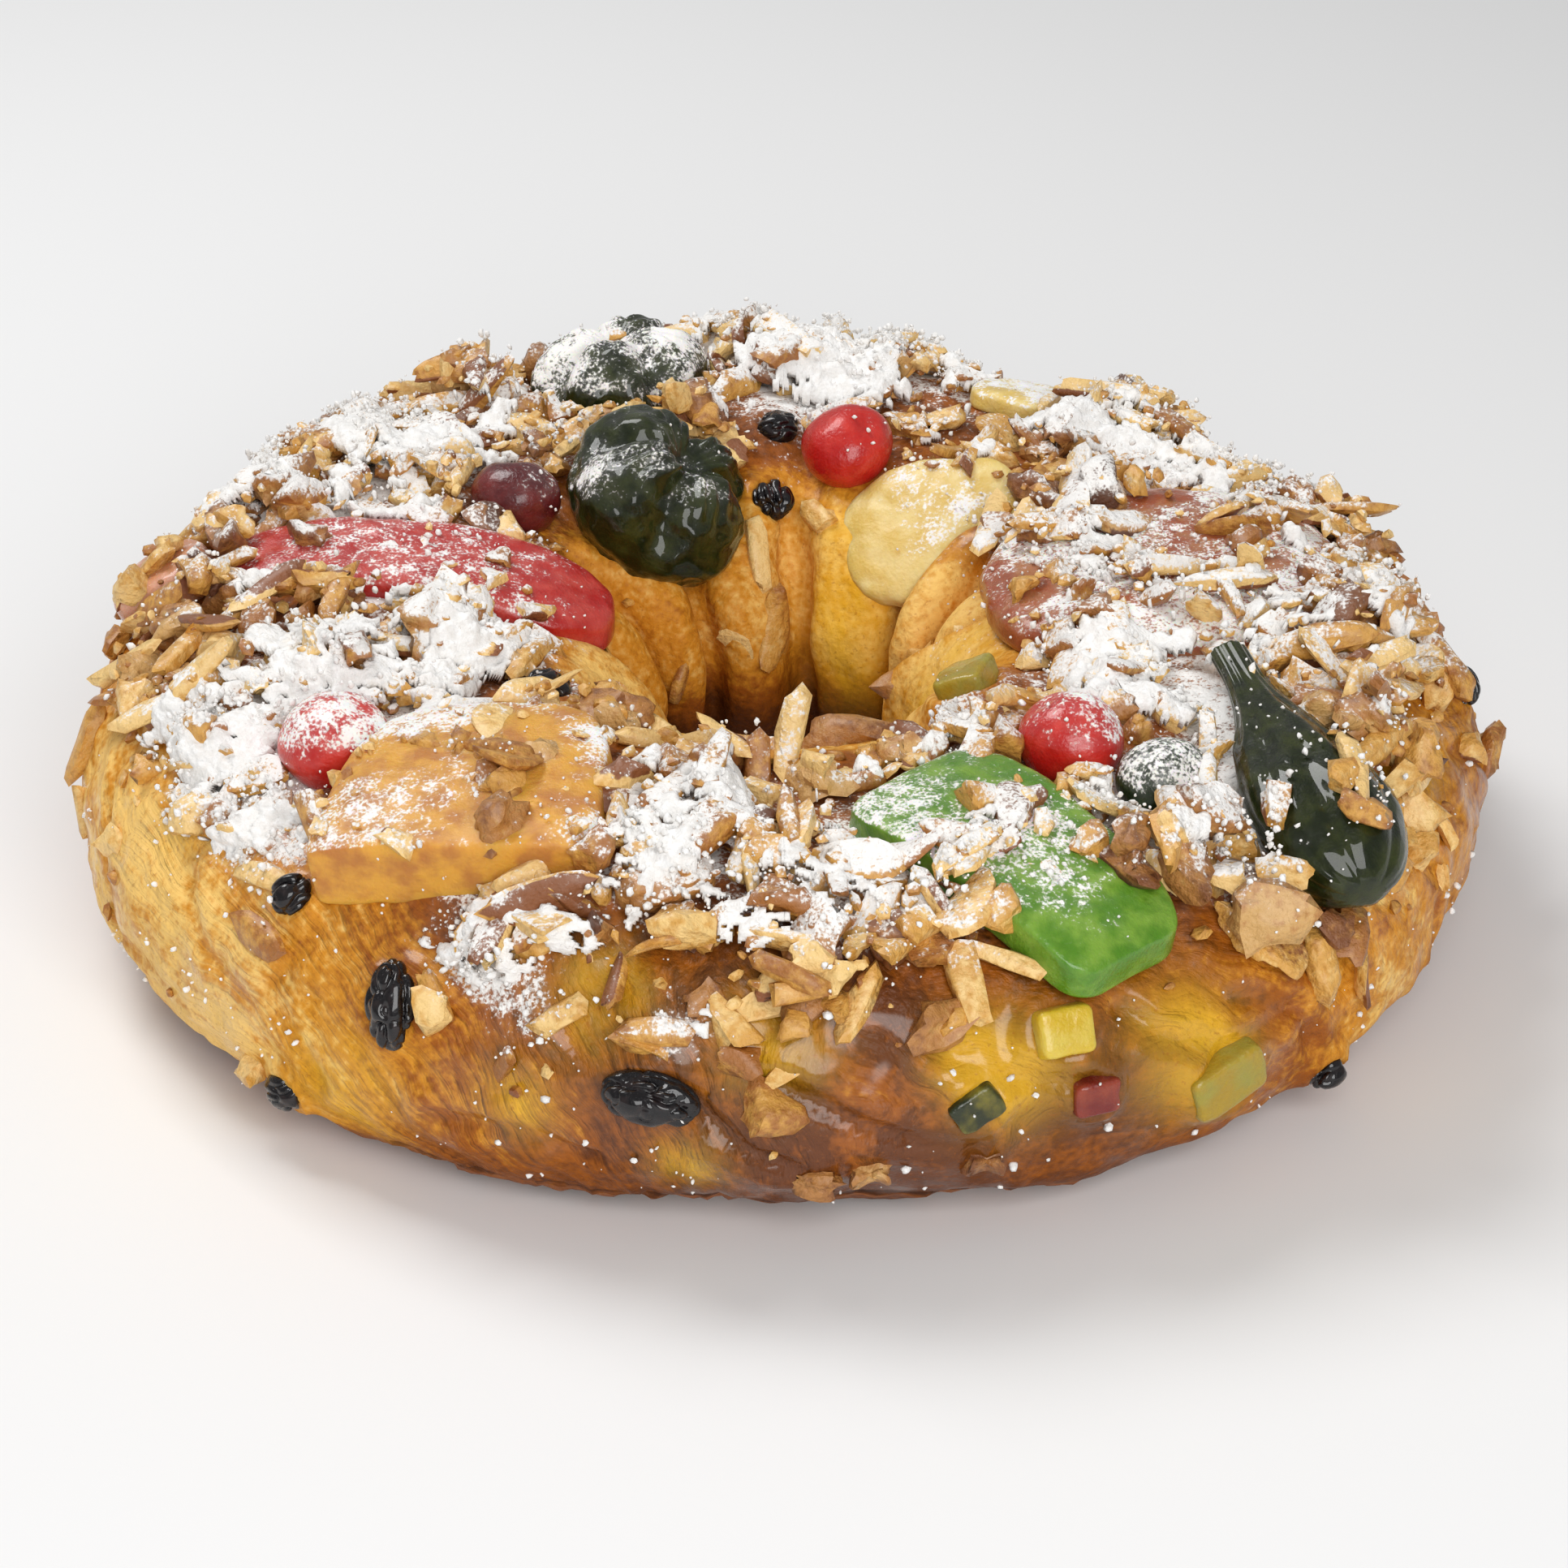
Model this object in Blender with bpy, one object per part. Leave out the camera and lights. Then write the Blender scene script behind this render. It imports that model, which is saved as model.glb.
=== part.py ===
"""Roscon de reyes: a baked ring of sweet dough, topped with candied fruit, raisins and nuts.

The ring stands on its flat base, with its middle on the origin and +Z up. Places on the ring are
given by two angles. The first runs round the ring, counter-clockwise seen from above, with 0 at +X.
The second runs round the roll of dough: 0 is the outer side, 90 the crown, 180 the wall of the hole.
"""

import math

import bmesh
import bpy
import numpy as np
from mathutils import Matrix, Vector

MM = 0.001

# The ring of dough. It was shaped by hand, so its outline is read at evenly spaced stations.
OUTER_REACH = np.array([124, 121, 120, 122, 124, 126, 125, 124, 123, 122, 123, 124]) * MM
INNER_REACH = np.array([24, 27, 30, 30, 28, 26, 24, 26, 30, 30, 28, 25]) * MM
CROWN_HEIGHT = np.array([57, 58, 59, 60, 60, 59, 58, 57, 56, 56, 56, 57]) * MM
WIDEST_SHARE = 0.44  # the height of the widest place, as a share of the crown's
SHOULDER_WIDTH, SHOULDER_HEIGHT = 0.80, 0.90  # exponents under 1 make the dome fuller
UNDERSIDE_WIDTH, UNDERSIDE_HEIGHT = 0.85, 0.85
UNDERSIDE_DROP = 1.15  # over 1, so that the belly is cut off level and the ring stands flat
AROUND_STEPS, ROLL_STEPS = 68, 20

# Folds where the roll closed on itself inside the hole: angle round the ring, depth, half-width.
HOLE_FOLDS = (
    (30, 4.5 * MM, 7),
    (52, 5.5 * MM, 7),
    (86, 6.0 * MM, 6),
    (118, 5.0 * MM, 7),
    (146, 3.5 * MM, 8),
    (176, 3.0 * MM, 8),
    (212, 3.0 * MM, 9),
    (255, 3.0 * MM, 9),
    (300, 3.0 * MM, 9),
)
FOLD_MIDDLE, FOLD_SPREAD = 158, 42  # where the folds are deepest, in degrees round the roll
SWELL_DEPTH = 0.8 * MM

# Fruit pressed into the dough keeps this gap to its pocket.
POCKET_GAP = 0.35 * MM

CUT_BULGE = 0.12  # how much of its round end a cut slice keeps
SLICE_EDGE = 0.4  # how square a slice's edge is: an exponent, where 1 is quite round
FIG_LOBES, LOBE_DEPTH = 4, 0.14  # the depth is of the grooves, as a share of the fig's half width
BELLY, STALK_SHARE = 0.3, 0.26  # where the long fig is widest, and its stalk's share of that width


def periodic(stations, angle):
    """The smooth closed curve through evenly spaced stations, as a short Fourier sum."""
    terms = np.fft.rfft(stations) / len(stations)
    value = np.full_like(angle, terms[0].real)
    for order, term in enumerate(terms[1:], start=1):
        share = 1 if 2 * order == len(stations) else 2
        value += share * (term.real * np.cos(order * angle) - term.imag * np.sin(order * angle))
    return value


def relief(around, roll):
    """How far the dough stands out from its plain section: folds in the hole and slow swells."""
    depth = np.zeros_like(around)
    window = np.exp(-(((np.degrees(roll) - FOLD_MIDDLE) / FOLD_SPREAD) ** 2))
    for at, fold_depth, half_width in HOLE_FOLDS:
        away = (np.degrees(around) - at + 180) % 360 - 180
        depth -= fold_depth * np.exp(-((away / half_width) ** 2)) * window
    swell = np.sin(4 * around + 2 * roll) + 0.5 * np.sin(7 * around - 3 * roll + 1.0)
    return depth + SWELL_DEPTH * swell


def dough_surface(around, roll):
    """Points of the dough's skin. The section is a superellipse cut off level at the base."""
    outer, inner = periodic(OUTER_REACH, around), periodic(INNER_REACH, around)
    crown = periodic(CROWN_HEIGHT, around)
    cosine, sine = np.cos(roll), np.sin(roll)
    over = sine >= 0
    half_width = (outer - inner) / 2
    waist = WIDEST_SHARE * crown
    across = np.sign(cosine) * np.abs(cosine) ** np.where(over, SHOULDER_WIDTH, UNDERSIDE_WIDTH)
    across = across * half_width
    rise = (crown - waist) * np.abs(sine) ** SHOULDER_HEIGHT
    drop = waist * UNDERSIDE_DROP * np.abs(sine) ** UNDERSIDE_HEIGHT
    height = np.where(over, rise, -drop)
    length = np.hypot(across, height)
    share = 1 + relief(around, roll) / length
    radius = (outer + inner) / 2 + across * share
    height = np.maximum(waist + height * share, 0)
    return np.stack([radius * np.cos(around), radius * np.sin(around), height], axis=-1)


def dough_frame(around_deg, roll_deg):
    """The frame at a place on the skin: X runs round the ring, Z stands out from the dough."""
    around, roll = math.radians(around_deg), math.radians(roll_deg)
    step = math.radians(1.5)
    arounds = np.array([around, around - step, around + step, around, around])
    rolls = np.array([roll, roll, roll, roll - step, roll + step])
    spots = dough_surface(arounds, rolls)
    along = Vector(spots[2] - spots[1]).normalized()
    across = Vector(spots[4] - spots[3]).normalized()
    out = along.cross(across).normalized()
    axes = Matrix((along, out.cross(along), out)).transposed().to_4x4()
    return Matrix.Translation(spots[0]) @ axes


def food_material(name, colour, roughness):
    """A plain food surface of one colour."""
    material = bpy.data.materials.new(name)
    material.use_nodes = True
    shader = material.node_tree.nodes["Principled BSDF"]
    shader.inputs["Base Color"].default_value = (*colour, 1)
    shader.inputs["Roughness"].default_value = roughness
    shader.inputs["Metallic"].default_value = 0
    return material


def shell_object(name, grid, material):
    """A closed shell from rows of points, whose first and last rows are single poles.

    It is all triangles, so that a pocket made from a swollen copy of it bends along the same edges.
    """
    rows, columns = grid.shape[:2]
    points = [grid[0, 0], *grid[1:-1].reshape(-1, 3), grid[-1, 0]]
    last = len(points) - 1

    def at(row, column):
        return 1 + (row - 1) * columns + column % columns

    faces = []
    for column in range(columns):
        faces.append((0, at(1, column), at(1, column + 1)))
        faces.append((last, at(rows - 2, column + 1), at(rows - 2, column)))
        for row in range(1, rows - 2):
            corner, opposite = at(row, column), at(row + 1, column + 1)
            faces.append((corner, at(row + 1, column), opposite))
            faces.append((corner, opposite, at(row, column + 1)))
    return mesh_object(name, points, faces, material)


def mesh_object(name, points, faces, material):
    """A smooth-shaded mesh object in the scene, with one material."""
    mesh = bpy.data.meshes.new(name)
    mesh.from_pydata([tuple(p) for p in points], [], faces)
    mesh.materials.append(material)
    mesh.shade_smooth()
    made = bpy.data.objects.new(name, mesh)
    bpy.context.scene.collection.objects.link(made)
    return made


def lump(size, outline=1.0, edge=1.0, columns=12, rows=6):
    """A superellipsoid of this size. Exponents well under 1 make it boxy in plan or at its edge."""
    turn = np.linspace(0, 2 * np.pi, columns, endpoint=False)[None, :]
    tip = np.linspace(np.pi / 2, -np.pi / 2, rows + 1)[:, None]
    reach = np.abs(np.cos(tip)) ** edge
    reach[[0, -1]] = 0
    x = reach * np.sign(np.cos(turn)) * np.abs(np.cos(turn)) ** outline
    y = reach * np.sign(np.sin(turn)) * np.abs(np.sin(turn)) ** outline
    z = np.sign(np.sin(tip)) * np.abs(np.sin(tip)) ** edge * np.ones_like(turn)
    return np.stack([x, y, z], axis=-1) * np.array(size) / 2


def bent(grid, along=0.0, across=0.0):
    """The grid bowed down by a curvature, in 1/m, along its length and across its width."""
    x, y = grid[..., 0], grid[..., 1]
    grid[..., 2] -= (along * x**2 + across * y**2) / 2
    return grid


def sliced(grid, share):
    """The grid cut off almost flat across its -X end, at this share of its half length."""
    limit = -share * np.abs(grid[..., 0]).max()
    beyond = np.minimum(grid[..., 0] - limit, 0)
    grid[..., 0] = np.maximum(grid[..., 0], limit) + CUT_BULGE * beyond
    return grid


def tapered(grid, share):
    """The grid made narrower towards its +X end, and wider towards the other, by this share."""
    half = np.abs(grid[..., 0]).max()
    grid[..., 1] *= 1 - share * grid[..., 0] / half
    return grid


def dimpled(grid, depth, spread):
    """The grid pressed in at its top, as where a stalk was."""
    plan = np.hypot(grid[..., 0], grid[..., 1])
    top = grid[..., 2] > 0
    grid[..., 2] -= np.where(top, depth * np.exp(-((plan / spread) ** 2)), 0)
    return grid


def wrinkled(grid, depth, count, seed):
    """The grid drawn in along a few uneven creases that run over it from end to end."""
    shift = np.random.default_rng(seed).uniform(0, 2 * np.pi, 2)
    x, y, z = np.moveaxis(grid, -1, 0)
    turn = np.arctan2(y, x)
    length = np.linalg.norm(grid, axis=-1, keepdims=True)
    flatness = np.abs(z) / length[..., 0].max()
    wave = np.sin(count * turn + shift[0]) + 0.6 * np.sin((count + 2) * turn + shift[1] + 4 * flatness)
    return grid * (1 + depth * (1 - flatness)[..., None] * wave[..., None] / length)


def seated(made, place, spin=0, lean=0, tip=0, lift=0.0):
    """Sets a piece at a place on the dough: tipped about its Y, leant about its X, then spun."""
    turn = Matrix.Rotation(math.radians(spin), 4, "Z")
    turn = turn @ Matrix.Rotation(math.radians(lean), 4, "X")
    turn = turn @ Matrix.Rotation(math.radians(tip), 4, "Y")
    frame = dough_frame(*place) @ Matrix.Translation((0, 0, lift)) @ turn
    made.location, made.rotation_euler = frame.to_translation(), frame.to_euler()
    return made


def dough_ring(material):
    """The ring of dough: its skin closed round the ring and round the roll."""
    around = np.linspace(0, 2 * np.pi, AROUND_STEPS, endpoint=False)
    roll = np.linspace(0, 2 * np.pi, ROLL_STEPS, endpoint=False)
    points = dough_surface(*np.meshgrid(around, roll, indexing="ij")).reshape(-1, 3)
    faces = []
    for i in range(AROUND_STEPS):
        for j in range(ROLL_STEPS):
            ahead, beside = (i + 1) % AROUND_STEPS, (j + 1) % ROLL_STEPS
            faces.append(
                (
                    i * ROLL_STEPS + j,
                    ahead * ROLL_STEPS + j,
                    ahead * ROLL_STEPS + beside,
                    i * ROLL_STEPS + beside,
                )
            )
    return mesh_object("dough_ring", points, faces, material)


def cherry(name, material, width, place, lift=4 * MM):
    """A whole candied cherry, a little flat, with the dimple of its stalk."""
    grid = dimpled(lump((width, width, 0.88 * width)), 0.16 * width, 0.2 * width)
    return seated(shell_object(name, grid, material), place, lift=lift)


def slab(name, material, size, place, spin=0, tip=0, lift=2 * MM, outline=0.75, **form):
    """A slice of candied fruit with a soft edge, bowed to lie over the dough.

    The form may give a cut share, a taper, and curvatures along (bow) and across (sag).
    """
    grid = lump(size, outline, SLICE_EDGE, columns=16, rows=6)
    grid = sliced(grid, form.get("cut", 1))
    grid = tapered(grid, form.get("taper", 0))
    grid = bent(grid, form.get("bow", 0), form.get("sag", 0))
    return seated(shell_object(name, grid, material), place, spin, tip=tip, lift=lift)


def dice(name, material, size, place, spin=0, lift=1.5 * MM):
    """A diced piece of candied peel with worn edges."""
    mesh = bpy.data.meshes.new(name)
    form = bmesh.new()
    bmesh.ops.create_cube(form, size=1, matrix=Matrix.Diagonal((*size, 1)))
    form.to_mesh(mesh)
    form.free()
    mesh.materials.append(material)
    mesh.shade_smooth()
    made = bpy.data.objects.new(name, mesh)
    bpy.context.scene.collection.objects.link(made)
    worn = made.modifiers.new("worn", "BEVEL")
    worn.width, worn.segments = 0.2 * min(size), 1
    return seated(made, place, spin, lift=lift)


def raisin(name, material, size, place, spin, seed):
    """A wrinkled raisin, half sunk in the dough."""
    grid = wrinkled(lump(size, columns=8, rows=5), 0.4 * MM, 3, seed)
    return seated(shell_object(name, grid, material), place, spin, lift=1 * MM)


def nut(name, material, size, place, spin, seed):
    """A large piece of nut with a rough, angular outline."""
    grid = wrinkled(lump(size, 0.8, 0.7, columns=9, rows=5), 0.6 * MM, 3, seed)
    return seated(shell_object(name, grid, material), place, spin, lift=2 * MM)


def folded_fig(name, material, size, place, spin, lean, lift):
    """A whole candied fig that has slumped into lobes, with grooves that run down from its eye."""
    grid = lump(size, columns=18, rows=8)
    turn = np.arctan2(grid[..., 1], grid[..., 0])
    reach = np.hypot(grid[..., 0], grid[..., 1]) / (size[0] / 2)
    groove = np.abs(np.cos(FIG_LOBES * turn / 2)) ** 5 * np.clip(reach, 0, 1)
    grid[..., :2] *= 1 - LOBE_DEPTH * groove[..., None]
    grid = dimpled(grid, 0.14 * size[2], 0.18 * size[0])
    return seated(shell_object(name, grid, material), place, spin, lean, lift=lift)


def stalked_fig(name, material, length, width, place, spin, tip, lift):
    """A long candied fig lying on its side: a round body that narrows to a blunt stalk at +X."""
    run = 0.5 - 0.5 * np.cos(np.linspace(0, np.pi, 12))
    body = np.sqrt(np.clip(1 - ((run - BELLY) / (BELLY + 0.01)) ** 2, 0, 1))
    neck = 0.5 + 0.5 * np.cos(np.pi * np.clip((run - BELLY) / 0.62, 0, 1))
    radius = width / 2 * np.where(run < BELLY, body, STALK_SHARE + (1 - STALK_SHARE) * neck)
    radius[[0, -1]] = 0
    turn = np.linspace(0, 2 * np.pi, 12, endpoint=False)
    ridge = 1 + 0.05 * np.cos(5 * turn)
    x = np.broadcast_to((run - 0.5)[:, None] * length, (len(run), len(turn)))
    y = radius[:, None] * (ridge * np.sin(turn))[None, :]
    z = 0.82 * radius[:, None] * (ridge * np.cos(turn))[None, :]
    grid = np.stack([x, y, z], axis=-1)
    return seated(shell_object(name, grid, material), place, spin, tip=tip, lift=lift)


def pocket(dough, fruit):
    """Cuts room for a piece of fruit into the dough, with an even gap all round it."""
    cutter = fruit.copy()
    cutter.name = fruit.name + ".cutter"
    swell = cutter.modifiers.new("gap", "DISPLACE")
    swell.direction, swell.mid_level, swell.strength = "NORMAL", 0, POCKET_GAP
    cutter.hide_render, cutter.display_type = True, "WIRE"
    bpy.context.scene.collection.objects.link(cutter)
    cut = dough.modifiers.new(fruit.name, "BOOLEAN")
    cut.operation, cut.object = "DIFFERENCE", cutter


def cherries():
    """Whole candied cherries. The green one has rolled against the long fig."""
    red = food_material("red_cherry", (0.52, 0.02, 0.03), 0.25)
    dark = food_material("dark_cherry", (0.10, 0.012, 0.012), 0.3)
    green = food_material("green_cherry", (0.012, 0.035, 0.01), 0.25)
    return [
        cherry("cherry_left", red, 18 * MM, (217.5, 74), 3.5 * MM),
        cherry("cherry_right", red, 17 * MM, (308.5, 90)),
        cherry("cherry_back", red, 17 * MM, (77, 111)),
        cherry("cherry_dark", dark, 16 * MM, (149, 106), 3 * MM),
        cherry("cherry_green", green, 15.5 * MM, (311.5, 74), 3.5 * MM),
    ]


def slices():
    """Slices of candied fruit. They lie over the crown, and their ends bend down its sides."""
    red = food_material("red_slice", (0.52, 0.02, 0.03), 0.25)
    rose = food_material("rose_slice", (0.62, 0.24, 0.13), 0.35)
    amber = food_material("amber_slice", (0.70, 0.33, 0.05), 0.3)
    brown = food_material("brown_slice", (0.22, 0.06, 0.02), 0.35)
    pale = food_material("pale_slice", (0.80, 0.60, 0.20), 0.3)
    green = food_material("green_slice", (0.12, 0.42, 0.03), 0.25)
    return [
        slab(
            "slice_red", red, (72 * MM, 24 * MM, 9 * MM), (174, 97), spin=88, lift=1.5 * MM,
            outline=0.7, taper=-0.12, bow=11, sag=4,
        ),
        slab("slice_rose", rose, (19 * MM, 18 * MM, 9 * MM), (175, 51), lift=1.5 * MM, sag=10),
        slab(
            "slice_amber", amber, (50 * MM, 45 * MM, 12 * MM), (237, 75), spin=115,
            outline=0.9, cut=0.6, taper=0.08, bow=8, sag=5,
        ),
        slab(
            "slice_green", green, (52 * MM, 28 * MM, 7.5 * MM), (292.3, 69), spin=110,
            outline=0.5, taper=-0.1, bow=14, sag=3,
        ),
        slab(
            "slice_brown", brown, (62 * MM, 66 * MM, 11 * MM), (4, 94), tip=-4, lift=2.5 * MM,
            outline=0.95, bow=4, sag=8,
        ),
        slab(
            "slice_pale", pale, (38 * MM, 28 * MM, 6 * MM), (53, 126), spin=50, lift=1.2 * MM,
            outline=0.95, taper=-0.15, bow=11, sag=8,
        ),
        slab("slice_pale_back", pale, (23 * MM, 18 * MM, 5 * MM), (58, 75), spin=10, bow=6, sag=6),
    ]


def figs():
    """Whole candied figs, which stand highest of all that is on the ring."""
    green = food_material("green_fig", (0.012, 0.035, 0.01), 0.25)
    small, large = (36 * MM, 33 * MM, 24 * MM), (38 * MM, 36 * MM, 28 * MM)
    return [
        folded_fig("fig_back", green, small, (110.5, 76), spin=20, lean=0, lift=2 * MM),
        folded_fig("fig_inner", green, large, (124, 124), spin=45, lean=-6, lift=4.5 * MM),
        stalked_fig("fig_stalked", green, 59 * MM, 25 * MM, (323.5, 60), 57, 4, 3.5 * MM),
    ]


def diced_peel():
    """Small dice of candied peel and fruit, most of them baked into the dough's side."""
    citron = food_material("citron", (0.42, 0.36, 0.05), 0.3)
    lemon = food_material("lemon_peel", (0.72, 0.48, 0.04), 0.3)
    red = food_material("red_dice", (0.35, 0.02, 0.02), 0.3)
    return [
        dice("dice_citron_inner", citron, (11 * MM, 9 * MM, 7 * MM), (317, 124), 20),
        dice("dice_lemon_front", lemon, (9 * MM, 7.5 * MM, 6 * MM), (290.5, 22.5)),
        dice("dice_red_front", red, (8 * MM, 6 * MM, 6 * MM), (292.7, 4), 0, 0.5 * MM),
        dice("dice_citron_side", citron, (14 * MM, 9 * MM, 6 * MM), (303.8, 358), 15, 0.3 * MM),
        dice("dice_citron_front", citron, (8 * MM, 6 * MM, 5 * MM), (283.8, 6), 30, 0.3 * MM),
        dice("dice_lemon_rear", lemon, (9 * MM, 8 * MM, 6 * MM), (62, 14), 20),
        dice("dice_red_rear", red, (8 * MM, 7 * MM, 6 * MM), (118, 20), 40),
    ]


def raisins():
    """Raisins in the crown and in the side, where the dough has drawn back from them."""
    black = food_material("raisin", (0.012, 0.010, 0.010), 0.4)
    return [
        raisin("raisin_front_left", black, (9 * MM, 15 * MM, 9 * MM), (239.3, 20), 8, seed=2),
        raisin("raisin_front", black, (16 * MM, 9.5 * MM, 9 * MM), (260.3, 10), -8, seed=3),
        raisin("raisin_crown_left", black, (9 * MM, 9 * MM, 8 * MM), (219.7, 114), 30, seed=4),
        raisin("raisin_shoulder", black, (8 * MM, 7 * MM, 7 * MM), (227.6, 38), 60, seed=6),
        raisin("raisin_base_left", black, (9 * MM, 7 * MM, 7 * MM), (228.5, 338), 10, seed=7),
        raisin("raisin_back", black, (9 * MM, 8 * MM, 7 * MM), (91, 101), 20, seed=8),
        raisin("raisin_hole", black, (9 * MM, 9 * MM, 8 * MM), (93.5, 128), 0, seed=9),
        raisin("raisin_right", black, (9 * MM, 8 * MM, 7 * MM), (356, 30), 40, seed=10),
        raisin("raisin_base_right", black, (8 * MM, 7 * MM, 7 * MM), (316.5, 338), 0, seed=11),
        raisin("raisin_rear", black, (11 * MM, 9 * MM, 8 * MM), (86, 15), 25, seed=12),
        raisin("raisin_rear_left", black, (10 * MM, 8 * MM, 7 * MM), (140, 8), 50, seed=13),
        raisin("raisin_rear_right", black, (10 * MM, 9 * MM, 8 * MM), (32, 12), 10, seed=14),
    ]


def large_nuts():
    """The nut pieces that are as large as the fruit."""
    walnut = food_material("walnut", (0.35, 0.17, 0.07), 0.6)
    almond = food_material("almond", (0.62, 0.38, 0.16), 0.55)
    return [
        nut("walnut_front", walnut, (17 * MM, 15 * MM, 9 * MM), (259.5, 66), 15, seed=21),
        nut("walnut_left", walnut, (13 * MM, 11 * MM, 8 * MM), (186, 59), 40, seed=22),
        nut("walnut_back", walnut, (20 * MM, 13 * MM, 8 * MM), (77, 60), 5, seed=23),
        nut("walnut_back_left", walnut, (15 * MM, 12 * MM, 8 * MM), (137, 64), 30, seed=24),
        nut("almond_right", almond, (10 * MM, 19 * MM, 6 * MM), (309.3, 30), 25, seed=25),
        nut("almond_stick", almond, (5.5 * MM, 17 * MM, 5 * MM), (313.5, 14), -4, seed=26),
    ]


def main():
    for old in list(bpy.data.objects):
        bpy.data.objects.remove(old)
    dough = dough_ring(food_material("baked_dough", (0.62, 0.31, 0.08), 0.5))
    for topping in [*cherries(), *slices(), *figs(), *diced_peel(), *raisins(), *large_nuts()]:
        pocket(dough, topping)


main()
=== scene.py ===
"""Roscon de reyes: the looks of a baked ring of dough with candied fruit, raisins, nuts and sugar.

Lengths are in metres, and the ring stands on z = 0 with its middle on the origin. A place on the
ring is two angles. The first runs round the ring, counter-clockwise seen from above, with 0 at +X.
The second runs round the roll of dough: 0 is its outer side, 90 its crown, 180 the wall of the hole.
"""

import bpy
import numpy as np
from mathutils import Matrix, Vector


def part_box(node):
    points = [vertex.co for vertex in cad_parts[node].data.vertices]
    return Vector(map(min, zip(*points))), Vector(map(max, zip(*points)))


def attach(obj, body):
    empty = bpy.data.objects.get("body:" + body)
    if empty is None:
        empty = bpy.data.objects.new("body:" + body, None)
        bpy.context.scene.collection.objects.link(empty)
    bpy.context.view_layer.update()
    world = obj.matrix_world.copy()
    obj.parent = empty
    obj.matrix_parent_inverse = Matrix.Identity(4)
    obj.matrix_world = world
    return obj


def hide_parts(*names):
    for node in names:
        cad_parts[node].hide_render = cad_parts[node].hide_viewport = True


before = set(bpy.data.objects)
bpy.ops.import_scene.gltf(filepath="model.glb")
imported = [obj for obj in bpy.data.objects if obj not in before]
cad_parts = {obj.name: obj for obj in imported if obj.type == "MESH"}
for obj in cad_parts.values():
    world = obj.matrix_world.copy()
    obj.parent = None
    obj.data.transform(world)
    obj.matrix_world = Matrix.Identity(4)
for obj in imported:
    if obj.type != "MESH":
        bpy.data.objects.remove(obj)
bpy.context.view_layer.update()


# ---------------------------------------------------------------------------------------------
# The dough ring. Enriched bread dough is rolled into a thick rope, closed into a ring, glazed
# with egg and baked. Its crust is golden brown and glossy where the glaze is thick, and pale or
# yolk yellow where the dough has stretched. It has folds in the hole, where the roll is tight.

MM = 0.001

# The same stations as the solid: its reach outwards and inwards, and its height, every 30 degrees.
OUTER_REACH = np.array([124, 121, 120, 122, 124, 126, 125, 124, 123, 122, 123, 124]) * MM
INNER_REACH = np.array([24, 27, 30, 30, 28, 26, 24, 26, 30, 30, 28, 25]) * MM
CROWN_HEIGHT = np.array([57, 58, 59, 60, 60, 59, 58, 57, 56, 56, 56, 57]) * MM
WIDEST_SHARE = 0.44
SHOULDER_WIDTH, SHOULDER_HEIGHT = 0.80, 0.90
UNDERSIDE_WIDTH, UNDERSIDE_HEIGHT, UNDERSIDE_DROP = 0.85, 0.85, 1.15
# Folds in the hole: angle round the ring, depth, half-width in degrees.
HOLE_FOLDS = (
    (30, 4.5, 7), (52, 5.5, 7), (86, 6.0, 6), (118, 5.0, 7), (146, 3.5, 8),
    (176, 3.0, 8), (212, 3.0, 9), (255, 3.0, 9), (300, 3.0, 9),
)


def periodic(stations, angle):
    """The smooth closed curve through evenly spaced stations, as a short Fourier sum."""
    terms = np.fft.rfft(stations) / len(stations)
    value = np.full_like(angle, terms[0].real)
    for order, term in enumerate(terms[1:], start=1):
        share = 1 if 2 * order == len(stations) else 2
        value += share * (term.real * np.cos(order * angle) - term.imag * np.sin(order * angle))
    return value


def section(around):
    """The roll's half width, middle radius, waist height and crown height at angles round the ring."""
    outer, inner = periodic(OUTER_REACH, around), periodic(INNER_REACH, around)
    crown = periodic(CROWN_HEIGHT, around)
    return (outer - inner) / 2, (outer + inner) / 2, WIDEST_SHARE * crown, crown


def turn_from(angle, at):
    """Signed degrees from `at` to each angle, the short way round."""
    return (np.degrees(angle) - at + 180) % 360 - 180


def dough_skin(around, roll):
    """Points of the plain skin: a superellipse section, cut off level, plus folds and two swells."""
    half_width, middle, waist, crown = section(around)
    cosine, sine = np.cos(roll), np.sin(roll)
    over = sine >= 0
    across = np.sign(cosine) * np.abs(cosine) ** np.where(over, SHOULDER_WIDTH, UNDERSIDE_WIDTH)
    across = across * half_width
    rise = (crown - waist) * np.abs(sine) ** SHOULDER_HEIGHT
    drop = waist * UNDERSIDE_DROP * np.abs(sine) ** UNDERSIDE_HEIGHT
    height = np.where(over, rise, -drop)
    window = np.exp(-((turn_from(roll, 158) / 42) ** 2))
    depth = 0.8 * MM * (np.sin(4 * around + 2 * roll) + 0.5 * np.sin(7 * around - 3 * roll + 1.0))
    for at, fold_depth, half_turn in HOLE_FOLDS:
        depth -= fold_depth * MM * np.exp(-((turn_from(around, at) / half_turn) ** 2)) * window
    share = 1 + depth / np.hypot(across, height)
    radius = middle + across * share
    height = np.maximum(waist + height * share, 0)
    return np.stack([radius * np.cos(around), radius * np.sin(around), height], axis=-1)


def unit(vectors):
    """The vectors at length 1."""
    return vectors / np.maximum(np.linalg.norm(vectors, axis=-1, keepdims=True), 1e-12)


def lifted(around, roll, height):
    """Points that stand this high over the skin, on the line from the middle of the roll."""
    skin = dough_skin(around, roll)
    _, middle, waist, _ = section(around)
    heart = np.stack([middle * np.cos(around), middle * np.sin(around), waist], axis=-1)
    return skin + unit(skin - heart) * np.asarray(height)[..., None]


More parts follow.
